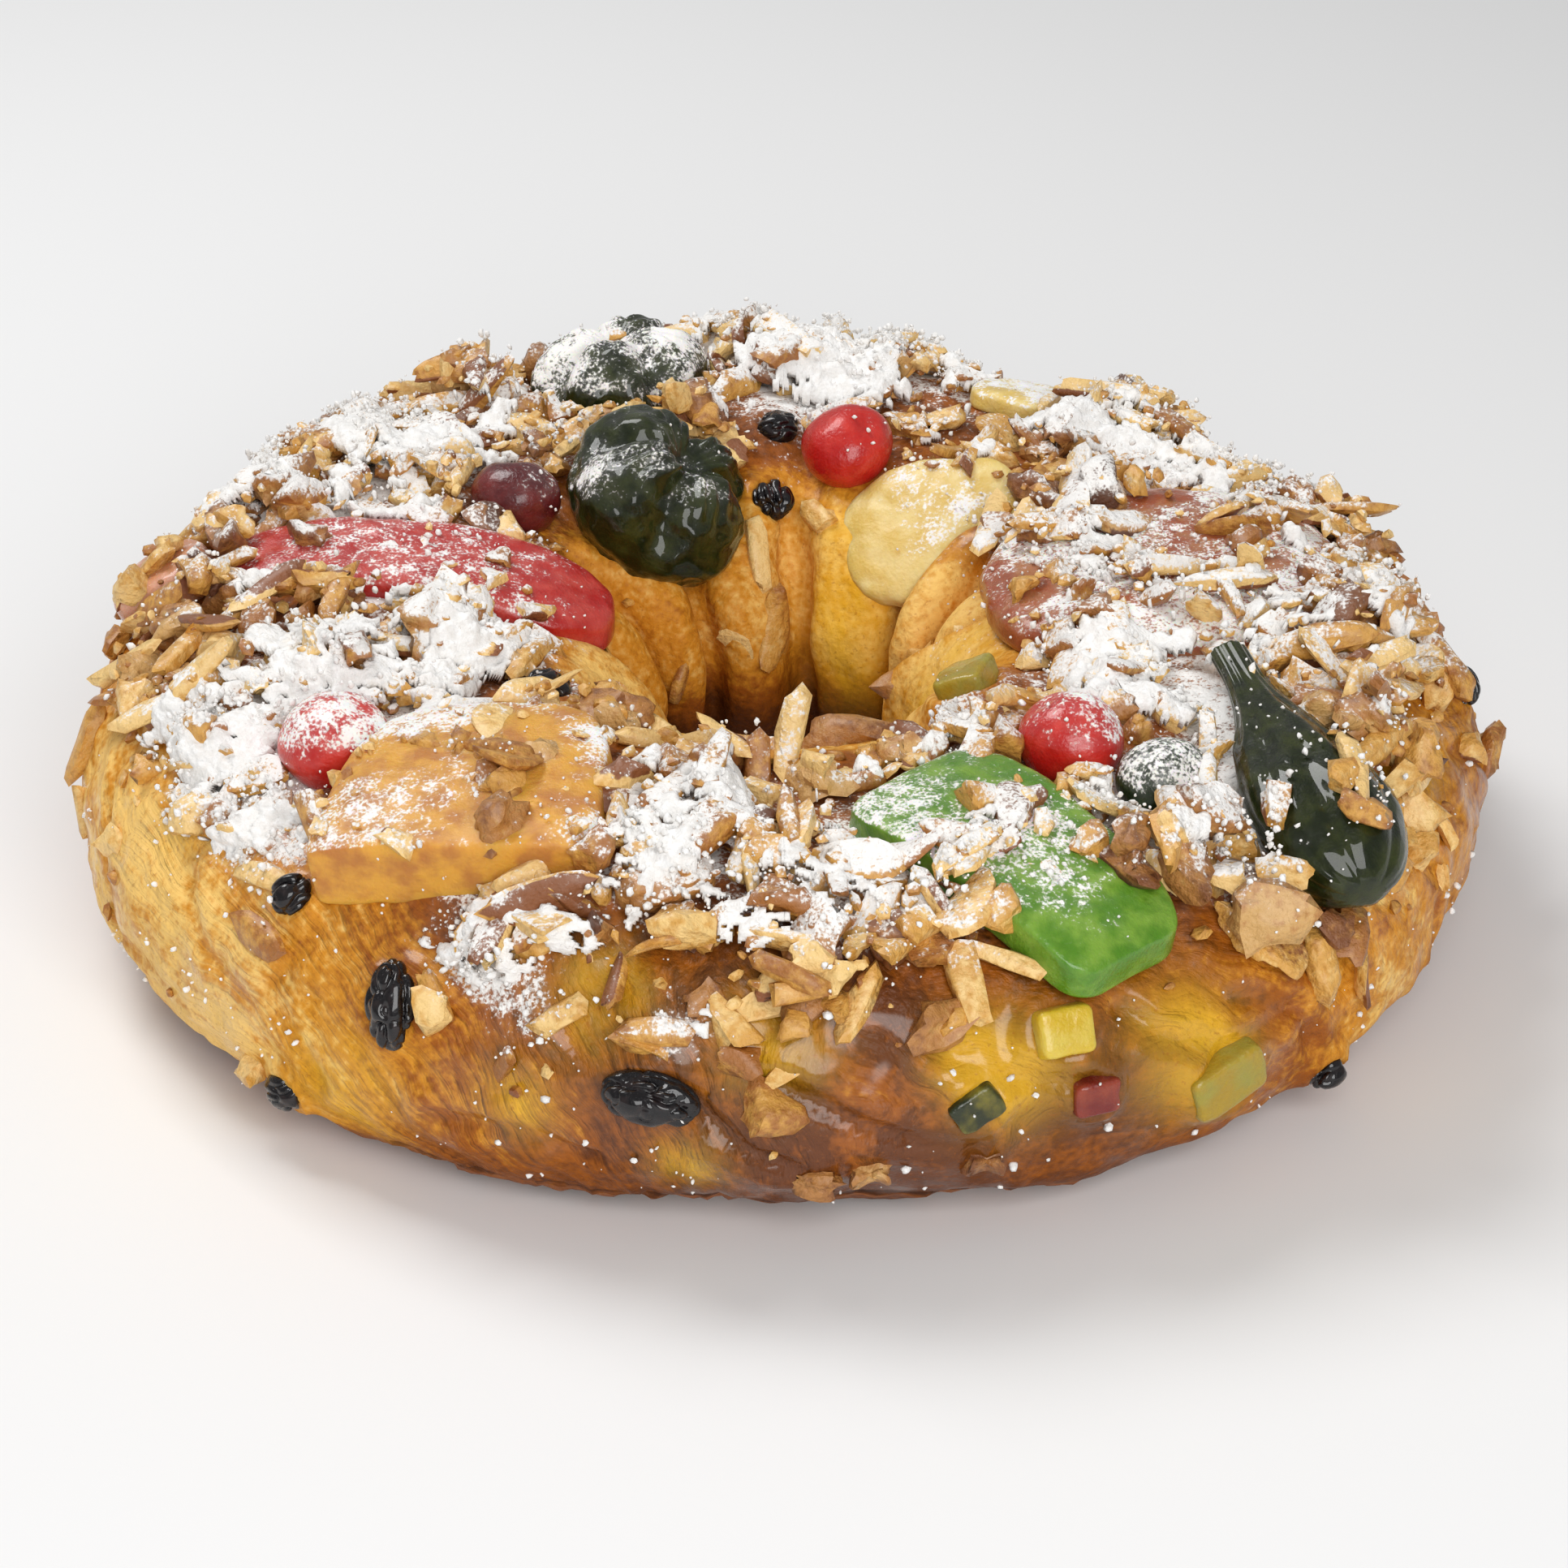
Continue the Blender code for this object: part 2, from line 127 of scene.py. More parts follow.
def ring_place(points):
    """The reverse of lifted: angles round the ring and the roll, and the height over the skin."""
    around = np.arctan2(points[..., 1], points[..., 0]) % (2 * np.pi)
    half_width, middle, waist, crown = section(around)
    across, height = np.hypot(points[..., 0], points[..., 1]) - middle, points[..., 2] - waist
    over = height >= 0
    quarter = np.linspace(0, np.pi / 2, 200)
    seen = np.arctan2(np.abs(height) / np.where(over, crown - waist, waist * UNDERSIDE_DROP),
                      np.abs(across) / half_width)
    table_over = np.arctan2(np.sin(quarter) ** SHOULDER_HEIGHT, np.cos(quarter) ** SHOULDER_WIDTH)
    table_under = np.arctan2(np.sin(quarter) ** UNDERSIDE_HEIGHT, np.cos(quarter) ** UNDERSIDE_WIDTH)
    roll = np.where(over, np.interp(seen, table_over, quarter), -np.interp(seen, table_under, quarter))
    roll = np.where(across < 0, np.pi - roll, roll) % (2 * np.pi)
    skin = dough_skin(around, roll)
    reach = np.hypot(np.hypot(skin[..., 0], skin[..., 1]) - middle, skin[..., 2] - waist)
    return around, roll, np.hypot(across, height) - reach


def axes_at(around, roll):
    """Frames on the skin, as arrays of three columns: round the ring, over the roll, outwards."""
    step = np.radians(1.5)
    along = unit(dough_skin(around + step, roll) - dough_skin(around - step, roll))
    across = dough_skin(around, roll + step) - dough_skin(around, roll - step)
    out = unit(np.cross(along, across))
    return np.stack([along, np.cross(out, along), out], axis=-1)


def rough(points, size, seed):
    """Noise from -1 to 1 in lumps of this size: random values at the corners of cubes, eased between."""
    where = points / size
    cell = np.floor(where).astype(np.int64)
    ease = where - cell
    ease = ease * ease * (3 - 2 * ease)
    total = np.zeros(points.shape[:-1])
    for corner in np.ndindex(2, 2, 2):
        at = cell + np.array(corner)
        mixed = at[..., 0] * 73856093 ^ at[..., 1] * 19349663 ^ at[..., 2] * 83492791 ^ seed * 2654435761
        mixed = (mixed ^ (mixed >> 13)) * 1274126177 & 0x7FFFFFFF
        value = (mixed ^ (mixed >> 15)) % 10007 / 5003 - 1
        total += value * np.prod(np.where(np.array(corner) == 1, ease, 1 - ease), axis=-1)
    return total


def crumpled(points, size, seed, layers=3):
    """Noise with finer and weaker layers on it, each half the size and half the strength."""
    return sum(rough(points, size / 2**n, seed + 7 * n) / 2**n for n in range(layers))


def hump(distance, width):
    """1 at no distance, falling away over this width."""
    return np.exp(-((distance / width) ** 2))


def eased(value, low, high):
    """0 under low, 1 over high, and a smooth rise between."""
    t = np.clip((value - low) / (high - low), 0, 1)
    return t * t * (3 - 2 * t)


def distance_to_line(points, places):
    """How far points are from a line over the skin through places given as pairs of angles."""
    angles = np.radians(np.array(places, float))
    knots = dough_skin(angles[:, 0], angles[:, 1])
    nearest = np.full(points.shape[:-1], np.inf)
    for start, end in zip(knots[:-1], knots[1:]):
        leg = end - start
        share = np.clip((points - start) @ leg / (leg @ leg), 0, 1)
        away = np.linalg.norm(points - start - share[..., None] * leg, axis=-1)
        nearest = np.minimum(nearest, away)
    return nearest


class Wire:
    """A shader socket in Python maths: each operator adds the Math node that it names."""

    def __init__(self, finish, socket):
        self.finish, self.socket = finish, socket

    def maths(self, operation, first, second):
        settings = {"operation": operation}
        return self.finish.node("ShaderNodeMath", settings, {0: first, 1: second})

    def __add__(self, other):
        return self.maths("ADD", self, other)

    def __sub__(self, other):
        return self.maths("SUBTRACT", self, other)

    def __rsub__(self, other):
        return self.maths("SUBTRACT", other, self)

    def __mul__(self, other):
        return self.maths("MULTIPLY", self, other)

    __radd__, __rmul__ = __add__, __mul__


class Finish:
    """A node material. Fixed values go on its shader's sockets, and `node` adds every other node."""

    def __init__(self, name, fixed=None):
        self.made = bpy.data.materials.new(name)
        self.made.use_nodes = True
        self.tree = self.made.node_tree
        self.shader = self.tree.nodes["Principled BSDF"]
        self.place = self.node("ShaderNodeTexCoord", out="Object")
        for socket, value in (fixed or {}).items():
            self.shader.inputs[socket].default_value = value

    def node(self, kind, settings=None, sockets=None, out=0):
        """Adds a node: its settings first, then the values or links of its sockets."""
        made = self.tree.nodes.new(kind)
        for key, value in (settings or {}).items():
            setattr(made, key, value)
        for key, value in (sockets or {}).items():
            self.plug(made.inputs[key], value)
        return Wire(self, made.outputs[out])

    def plug(self, socket, value):
        if isinstance(value, Wire):
            self.tree.links.new(value.socket, socket)
        else:
            socket.default_value = value

    def blend(self, mask, first, second):
        """The first colour where the mask is 0, the second where it is 1."""
        first, second = ((*c, 1) if isinstance(c, tuple) else c for c in (first, second))
        return self.node("ShaderNodeMix", {"data_type": "RGBA"}, {0: mask, 6: first, 7: second}, 2)

    def noise(self, size, detail=2.0, vector=None):
        """Noise from 0 to 1 in lumps of this size, with most values near a half."""
        sockets = {"Vector": vector or self.place, "Scale": 1 / size, "Detail": detail}
        return self.node("ShaderNodeTexNoise", None, sockets)

    def step(self, value, low, high):
        """0 under low, 1 over high, and a smooth rise between."""
        sockets = {"Value": value, "From Min": low, "From Max": high}
        return self.node("ShaderNodeMapRange", {"interpolation_type": "SMOOTHSTEP"}, sockets)

    def field(self, name, out="Fac"):
        """A value that is kept on the piece's points."""
        return self.node("ShaderNodeAttribute", {"attribute_name": name}, None, out)

    def done(self, colour, roughness, height, coat=0.0, dust=True):
        """Plugs the finish into the shader, under icing sugar: a haze, then grains, then a coat."""
        if dust:
            amount = self.field("dust")
            clumps, grains = self.noise(2.8 * MM, 3), self.noise(0.6 * MM, 2)
            level = amount * 1.5 + clumps * 1.2 + grains * 1.4 - 1.8
            cover = self.step(level, 0.15, 0.62)
            haze = self.step(amount + clumps * 0.6, 0.3, 1.5) * 0.5
            white = self.step(cover + haze, 0.0, 1.25)
            sugar = self.blend(clumps, (0.86, 0.83, 0.79), (0.95, 0.94, 0.925))
            colour = self.blend(white, colour, sugar)
            roughness = roughness + cover * (0.92 - roughness)
            height = height + grains * (0.10 * MM)
            coat = (1 - white) * coat
        self.plug(self.shader.inputs["Base Color"], colour)
        self.plug(self.shader.inputs["Roughness"], roughness)
        self.plug(self.shader.inputs["Coat Weight"], coat)
        bump = {"Height": height, "Distance": 1.0, "Strength": 1.0}
        self.plug(self.shader.inputs["Normal"], self.node("ShaderNodeBump", None, bump))
        return self.made


# Icing sugar lies thickest on the crown, in drifts: place, how far each reaches in mm, strength.
SUGAR_DRIFTS = (
    (209, 56, 14, 0.5), (216, 74, 15, 0.5), (193, 84, 20, 0.5), (222, 46, 11, 0.6),
    (176, 108, 18, 0.45), (160, 84, 22, 0.5), (138, 76, 20, 0.6), (128, 92, 16, 0.4),
    (110, 78, 18, 0.5), (92, 74, 22, 0.6), (76, 82, 18, 0.5), (62, 70, 18, 0.3),
    (40, 72, 20, 0.5), (22, 78, 18, 0.4), (5, 92, 28, 0.55), (352, 76, 16, 0.4),
    (338, 88, 16, 0.4), (318, 92, 20, 0.5), (314, 66, 16, 0.5), (304, 62, 14, 0.45),
    (290, 84, 18, 0.45), (284, 66, 12, 0.5), (271, 84, 15, 0.45), (276, 58, 9, 0.5),
    (254, 74, 14, 0.5), (243, 88, 14, 0.35), (236, 60, 12, 0.3), (229, 92, 14, 0.35),
    (246, 44, 12, 0.4), (200, 105, 18, 0.35), (56, 116, 14, 0.5), (263, 27, 7, 0.8),
    (244, 36, 9, 0.4), (250, 24, 7, 0.4), (350, 62, 16, 0.35), (330, 80, 16, 0.35),
    (14, 104, 16, 0.25), (322, 50, 12, 0.35), (84, 66, 14, 0.3),
)


def sugar_on(points, normals):
    """How much sugar lies on points, from 0 to about 1: the drifts and what stands proud, less where steep."""
    around, roll, height = ring_place(points)
    roll = np.degrees(roll)
    amount = 0.30 * eased(roll, 22, 62) * eased(-roll, -150, -112) + 0.26 * eased(height, 0, 3 * MM)
    for at_around, at_roll, reach, strength in SUGAR_DRIFTS:
        centre = dough_skin(np.radians(float(at_around)), np.radians(float(at_roll)))
        away = np.linalg.norm(points - centre, axis=-1)
        amount = amount + strength * hump(away, reach * MM)
    amount = amount * (1 + 0.7 * crumpled(points, 14 * MM, 5))
    return np.clip(amount, 0, 1.1) * eased(normals[..., 2], -0.15, 0.55)


DUST_SHARE = 0.66  # how much of the sugar lies as dust on a piece, where the rest is in heaps


def make_piece(name, replaced, points, faces, material, fields=None, sharp=None):
    """A mesh piece from arrays, with values on its points, tied to the frame. Adds its sugar."""
    mesh = bpy.data.meshes.new(name)
    mesh.vertices.add(len(points))
    mesh.vertices.foreach_set("co", points.astype(np.float32).ravel())
    faces = [f for f in (faces if isinstance(faces, (list, tuple)) else [faces]) if len(f)]
    corners = np.concatenate([f.ravel() for f in faces]).astype(np.int32)
    sizes = np.concatenate([np.full(len(f), f.shape[1]) for f in faces])
    starts = np.concatenate([[0], np.cumsum(sizes)[:-1]]).astype(np.int32)
    mesh.loops.add(len(corners))
    mesh.loops.foreach_set("vertex_index", corners)
    mesh.polygons.add(len(sizes))
    mesh.polygons.foreach_set("loop_start", starts)
    mesh.update(calc_edges=True)
    mesh.materials.append(material)
    mesh.shade_smooth()
    if sharp:
        mesh.set_sharp_from_angle(angle=np.radians(sharp))
    normals = np.empty(len(points) * 3, np.float32)
    mesh.vertex_normals.foreach_get("vector", normals)
    fields = dict(fields or {})
    if "dust" not in fields:
        fields["dust"] = DUST_SHARE * sugar_on(points, normals.reshape(-1, 3))
    for field, values in fields.items():
        values = np.asarray(values, np.float32)
        kind, key = ("FLOAT_VECTOR", "vector") if values.ndim == 2 else ("FLOAT", "value")
        kept = mesh.attributes.new(field, kind, "POINT")
        kept.data.foreach_set(key, values.ravel())
    made = bpy.data.objects.new(name, mesh)
    bpy.context.scene.collection.objects.link(made)
    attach(made, "root")
    if replaced:
        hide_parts(replaced)
    return made


AROUND_STEPS = 640
around = np.linspace(0, 2 * np.pi, AROUND_STEPS, endpoint=False)
roll = np.radians(np.concatenate([np.arange(-32, 212, 2.0), np.arange(212, 328, 4.2)]))
ROLL_STEPS = len(roll)
around, roll = np.meshgrid(around, roll, indexing="ij")
skin = dough_skin(around, roll)
outwards = axes_at(around, roll)[..., 2]
roll_deg = np.degrees(roll)
standing = eased(skin[..., 2], 0, 3 * MM)

# The dough stretched as it rose, along lines that slant down its sides. Places in that flow are
# wide round the ring and short along the lines, so noise read there comes out as long wrinkles.
slant = 0.42 + 0.30 * np.sin(2 * around + 0.6) + 0.16 * np.sin(5 * around)
flow_angle = around + slant * (roll - 1.2) + 0.05 * crumpled(skin, 15 * MM, 17)
FLOW_STRETCH = 15 * MM
reach = np.hypot(skin[..., 0], skin[..., 1]) + 3 * MM * rough(skin, 11 * MM, 18)
flow = np.stack([reach * np.cos(flow_angle), reach * np.sin(flow_angle), FLOW_STRETCH * roll], axis=-1)

# Slow lumps, then wrinkles along the flow, then fine lumps.
relief = 1.2 * MM * crumpled(skin, 15 * MM, 1) + 0.20 * MM * crumpled(skin, 4.5 * MM, 2)
relief += 0.55 * MM * crumpled(flow, 7 * MM, 4, 2)
inside = eased(roll_deg, 112, 140) * eased(-roll_deg, -232, -205)
for at, fold_depth, half_turn in HOLE_FOLDS:
    lean = 0.10 * (roll_deg - 160)
    away = (turn_from(around, at) + lean) * np.radians(1) * np.hypot(skin[..., 0], skin[..., 1])
    relief -= inside * (3.4 * MM * hump(away, 2.0 * MM) - 1.6 * MM * hump(np.abs(away) - 6 * MM, 4 * MM))

# The curled flap of dough that overlaps its neighbour at the back right of the hole. Its edge
# starts on the crown and swings round the hole faster and faster on its way down.
FLAP_TOP, FLAP_FOOT = 112, 200  # where on the roll the edge starts and ends
FLAP_START, FLAP_SWING, FLAP_CURVE = 2, 44, 1.6
run = np.clip((roll_deg - FLAP_TOP) / (FLAP_FOOT - FLAP_TOP), 0, 1)
flap_at = FLAP_START + FLAP_SWING * run**FLAP_CURVE
flap_away = -turn_from(around - np.radians(flap_at), 0) * np.radians(1) * np.hypot(skin[..., 0], skin[..., 1])
flap_reach = eased(roll_deg, 112, 132) * eased(-roll_deg, -214, -196)
lip = eased(flap_away, -0.6 * MM, 1.6 * MM) * eased(-flap_away, -24 * MM, -5 * MM)
relief += flap_reach * (4.2 * MM * lip - 1.6 * MM * hump(flap_away + 1.4 * MM, 1.6 * MM))

# Pits in which raisins and dice sit, each with a raised rim, and level beds under the slices.
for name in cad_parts:
    low, high = (np.array(corner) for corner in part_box(name))
    away = np.linalg.norm(skin - (low + high) / 2, axis=-1)
    size = np.sort(high - low)[1] / 2
    if name.startswith(("raisin", "dice")):
        rim = 2.3 if name.startswith("dice") else 1.4
        relief += rim * MM * hump(away - 1.1 * size, 0.42 * size)
    if name.startswith("slice"):
        relief -= np.maximum(relief, 0) * hump(away, 1.1 * size)

# Creases and stretch lines in the sides, as lines of places, with a depth in mm.
CREASES = (
    (1.1, (262, 14), (264, 5), (267, 357), (271, 350)),
    (0.9, (263, 9), (265, 0), (269, 352)),
    (0.8, (268, 18), (272, 9), (276, 2), (281, 355)),
    (0.8, (270, 14), (274, 5), (279, 358)),
    (1.0, (281, 24), (285, 12), (292, 8)),
    (1.2, (296, 24), (299, 12), (304, 6), (311, 6)),
    (1.2, (306, 16), (311, 8), (314, 352)),
    (0.8, (216, 24), (221, 10), (226, 4)),
    (0.7, (231, 30), (228, 12), (233, 350)),
    (1.0, (243, 352), (250, 354), (256, 348)),
    (0.8, (198, 30), (202, 12), (205, 352)),
    (0.9, (330, 22), (334, 8), (333, 350)),
    (0.9, (345, 30), (352, 12), (354, 352)),
    (1.0, (20, 26), (24, 8), (22, 350)),
    (0.9, (48, 28), (50, 12), (56, 352)),
    (1.0, (78, 22), (74, 6), (78, 350)),
    (0.9, (104, 26), (108, 8), (104, 350)),
    (1.0, (134, 24), (132, 6), (138, 352)),
    (0.9, (160, 28), (164, 10), (160, 352)),
)
# The mask along each crease only darkens the crust there, as painted shade.
crease_shade_mask = np.zeros_like(relief)
for depth, *places in CREASES:
    away = distance_to_line(skin, places)
    relief += depth * MM * (0.45 * hump(away - 3.4 * MM, 2.2 * MM) - hump(away, 1.7 * MM))
    crease_shade_mask = np.maximum(crease_shade_mask, hump(away, 2.0 * MM))
skin = skin + outwards * (relief * standing)[..., None]
skin[..., 2] = np.maximum(skin[..., 2], 0)

# How brown, how yellow and how glossy the crust is. The brownness also holds painted shade: darker crust
# under the topping on the crown, along the creases, low down near the table and deep in the hole.
degrees_round = np.degrees(around)
front_glaze = hump(turn_from(around, 276), 38) * eased(-roll_deg, -75, -35)
pale_left = hump(turn_from(around, 210), 26) * eased(-roll_deg, -70, -25)
pale_right = hump(turn_from(around, 322), 18) * eased(-roll_deg, -60, -20)
bake_and_shade = 0.64 + 0.54 * front_glaze - 0.66 * pale_left - 0.36 * pale_right
# Painted shade: the crust on the crown is made darker where the nuts lie over it.
bake_and_shade += 0.35 * eased(roll_deg, 38, 62) * eased(-roll_deg, -128, -104)
bake_and_shade += 0.16 * crumpled(skin, 22 * MM, 11) + 0.10 * crumpled(skin, 5 * MM, 12)
# Painted shade: the crust is made darker along the creases.
bake_and_shade += 0.25 * crease_shade_mask
bake_and_shade += 0.16 * crumpled(flow, 9 * MM, 15)
hole_bake = 0.16 + 0.20 * hump(turn_from(around, 135), 45) + 0.18 * crumpled(skin, 14 * MM, 13)
bake_and_shade = bake_and_shade * (1 - inside) + inside * hole_bake
# Painted shade: the crust is made darker near the table, and much darker deep in the hole.
bake_and_shade += 0.45 * eased(-skin[..., 2], -14 * MM, -1 * MM) + 1.4 * inside * eased(-skin[..., 2], -33 * MM, -10 * MM)
bake_and_shade += 0.18 * flap_reach * hump(flap_away - 1 * MM, 2 * MM)
yolk = 0.9 * inside * hump(turn_from(around, 66), 16) * eased(-roll_deg, -200, -175)
yolk += 0.6 * inside * flap_reach * hump(turn_from(around, 350), 18)
for at_around, at_roll, reach in (
    (269, 26, 8), (287, 12, 9), (300, 10, 9), (303, 0, 8), (256, 35, 8), (284, 20, 6), (263, 350, 5),
    (250, 2, 6), (235, 350, 10), (337, 50, 12), (212, 36, 6), (75, 20, 9), (118, 22, 9), (20, 16, 8),
    (160, 16, 9), (45, 10, 8),
):
    centre = dough_skin(np.radians(float(at_around)), np.radians(float(at_roll)))
    yolk += 0.8 * hump(np.linalg.norm(skin - centre, axis=-1), reach * MM)
yolk = np.clip(yolk * (1 + 0.5 * crumpled(flow, 6 * MM, 14)), 0, 1)
glaze = 0.40 + 0.5 * front_glaze + 0.25 * crumpled(skin, 15 * MM, 16) - 0.3 * inside
glaze -= 0.45 * eased(-skin[..., 2], -24 * MM, -6 * MM)

# The brown and dark colours below also serve as the painted shade under the topping, in the creases, low down and
# in the hole.
DOUGH_PALE = (0.90, 0.57, 0.165)
DOUGH_GOLD = (0.64, 0.26, 0.021)
DOUGH_BROWN = (0.32, 0.088, 0.007)
DOUGH_DARK = (0.13, 0.034, 0.005)
DOUGH_YOLK = (0.80, 0.45, 0.018)

crust = Finish("crust", {"Coat Roughness": 0.16, "Coat IOR": 1.45, "Specular IOR Level": 0.15})
along = crust.field("flow", "Vector")
streaks, mottle = crust.noise(4.2 * MM, 4, along), crust.noise(1.5 * MM, 4)
stretched = crust.field("glaze") * 1.1 + 0.05
# The brownness read here holds the real bake and the painted shade together.
browned_and_shaded = crust.field("bake_and_shade") + (streaks - 0.5) * stretched * 1.4 + (mottle - 0.5) * 0.9
colour = crust.blend(crust.step(browned_and_shaded, 0.02, 0.45), DOUGH_PALE, DOUGH_GOLD)
colour = crust.blend(crust.step(browned_and_shaded, 0.38, 0.85), colour, DOUGH_BROWN)
colour = crust.blend(crust.step(browned_and_shaded, 0.80, 1.35), colour, DOUGH_DARK)
colour = crust.blend(crust.field("yolk") * 0.75, colour, DOUGH_YOLK)
pores = crust.step(crust.noise(0.8 * MM, 2), 0.60, 0.72)
colour = crust.blend(pores * 0.35, colour, DOUGH_BROWN)
wet = crust.step(crust.field("glaze") + (crust.noise(5 * MM, 3) - 0.5) * 0.9, 0.25, 0.75)
height = streaks * stretched * (2.2 * MM) + mottle * (0.35 * MM) + crust.noise(5 * MM, 2) * (1.0 * MM)
crust.done(colour, 0.52 - wet * 0.17, height, coat=wet * 0.75)


def torus_faces(rows, columns):
    """Quads of a grid that closes both ways, as corner numbers."""
    i, j = np.meshgrid(np.arange(rows), np.arange(columns), indexing="ij")
    ahead, beside = (i + 1) % rows, (j + 1) % columns
    corners = [i * columns + j, ahead * columns + j, ahead * columns + beside, i * columns + beside]
    return np.stack(corners, axis=-1).reshape(-1, 4)


dough_points = skin.reshape(-1, 3)
make_piece(
    "dough", "dough_ring", dough_points, torus_faces(AROUND_STEPS, ROLL_STEPS),
    crust.made, {"bake_and_shade": bake_and_shade.ravel(), "yolk": yolk.ravel(), "glaze": glaze.ravel(), "flow": flow.reshape(-1, 3)},
)


# ---------------------------------------------------------------------------------------------
# Whole candied cherries, boiled in syrup until they are clear. Each keeps the dimple of its
# stalk and a few soft dents, and is pressed into the dough before the bake.


def lump(size, outline=1.0, edge=1.0, columns=64, rows=40):
    """A superellipsoid grid of this size. Exponents well under 1 make it boxy in plan or at its edge."""
    turn = np.linspace(0, 2 * np.pi, columns, endpoint=False)[None, :]
    tip = np.linspace(np.pi / 2, -np.pi / 2, rows + 1)[:, None]
    reach = np.abs(np.cos(tip)) ** edge
    reach[[0, -1]] = 0
    x = reach * np.sign(np.cos(turn)) * np.abs(np.cos(turn)) ** outline
    y = reach * np.sign(np.sin(turn)) * np.abs(np.sin(turn)) ** outline
    z = np.sign(np.sin(tip)) * np.abs(np.sin(tip)) ** edge * np.ones_like(turn)
    return np.stack([x, y, z], axis=-1) * np.array(size) / 2


def shell(grid):
    """Points and faces of a closed shell from grid rows whose first and last are single poles."""
    rows, columns = grid.shape[:2]
    points = np.concatenate([grid[:1, 0], grid[1:-1].reshape(-1, 3), grid[-1:, 0]])
    ring = np.arange(columns)
    after = (ring + 1) % columns
    last = 1 + (rows - 3) * columns
    top = np.stack([np.zeros(columns, int), 1 + ring, 1 + after], axis=-1)
    foot = np.stack([np.full(columns, len(points) - 1), last + after, last + ring], axis=-1)
    start = 1 + np.arange(rows - 3)[:, None] * columns
    quads = [start + ring, start + columns + ring, start + columns + after, start + after]
    return points, [np.stack(quads, axis=-1).reshape(-1, 4), np.concatenate([top, foot])]


def turned(spin, lean=0.0, tip=0.0):
    """Turn matrices: tipped about Y, then leant about X, then spun about Z, in degrees."""
    spin, lean, tip = (np.radians(np.asarray(a, float)) for a in np.broadcast_arrays(spin, lean, tip))
    zero, one = np.zeros_like(spin), np.ones_like(spin)

    def rows(*nine):
        return np.stack(nine, axis=-1).reshape(*spin.shape, 3, 3)

    about_z = rows(np.cos(spin), -np.sin(spin), zero, np.sin(spin), np.cos(spin), zero, zero, zero, one)
    about_x = rows(one, zero, zero, zero, np.cos(lean), -np.sin(lean), zero, np.sin(lean), np.cos(lean))
    about_y = rows(np.cos(tip), zero, np.sin(tip), zero, one, zero, -np.sin(tip), zero, np.cos(tip))
    return about_z @ about_x @ about_y


def seated(node, grid, place, spin=0, lean=0, tip=0):
    """Turns a grid to lie on the dough at a place, then centres its box on that of the solid."""
    axes = axes_at(*np.radians(np.array(place, float))) @ turned(spin, lean, tip)
    grid = grid @ axes.T
    low, high = (np.array(corner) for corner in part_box(node))
    middle = (grid.reshape(-1, 3).min(0) + grid.reshape(-1, 3).max(0)) / 2
    return grid - middle + (low + high) / 2


fruit_points = []  # what the nuts and the sugar later lie on


# How much of the sugar that falls on a fruit stays on it: syrup takes it up, and some were wiped.
SUGAR_KEPT = {
    "cherry_left": 0.85, "cherry_right": 0.95, "cherry_back": 0.6, "cherry_dark": 0.7, "cherry_green": 0.8,
    "slice_red": 0.68, "slice_rose": 0.8, "slice_amber": 0.92, "slice_green": 0.80, "slice_brown": 0.9,
    "slice_pale": 0.95, "fig_back": 1.1, "fig_inner": 1.05, "fig_stalked": 0.35, "dice": 0.2, "raisin": 0.3,
}


def place_fruit(node, grid, material, fields=None):
    """Makes a closed piece that stands for a solid, and notes where it is for the topping."""
    points, faces = shell(grid)
    fruit_points.append((node, points))
    made = make_piece(node + "_look", node, points, faces, material, fields)
    kept = next((share for start, share in SUGAR_KEPT.items() if node.startswith(start)), 1.0)
    dust = np.empty(len(points), np.float32)
    made.data.attributes["dust"].data.foreach_get("value", dust)
    made.data.attributes["dust"].data.foreach_set("value", dust * kept)
    return made


def candied(name, clear, cloudy, glow, depth=3.0 * MM, roughness=0.3, syrup=0.5, sharpness=0.12, sheen=0.35):
    """Clear candied fruit: one colour in thick places, a cloudier one in lumps, and a syrup gloss."""
    fixed = {
        "Subsurface Weight": 0.45, "Subsurface Radius": (*glow,), "Subsurface Scale": depth,
        "Coat Roughness": sharpness, "Coat IOR": 1.45, "Specular IOR Level": sheen,
    }
    finish = Finish(name, fixed)
    cloud = finish.step(finish.noise(5 * MM, 3), 0.38, 0.68)
    colour = finish.blend(cloud, clear, cloudy)
    height = finish.noise(2.4 * MM, 3) * (0.35 * MM)
    finish.done(colour, roughness + cloud * 0.15, height, coat=syrup)
    return finish.made


def cherry(node, material, width, place, seed):
    """A ball, a little flat, with slow dents and one shallow dimple to the side of its top."""
    grid = lump((width, width, 0.92 * width))
    away = np.linalg.norm(grid - 0.5 * width * unit(np.array([np.cos(seed), np.sin(seed), 1.2])), axis=-1)
    dent = 0.035 * width * crumpled(grid, 0.5 * width, seed, 2) - 0.07 * width * hump(away, 0.16 * width)
    grid = grid + unit(grid) * dent[..., None]
    place_fruit(node, seated(node, grid, place), material)


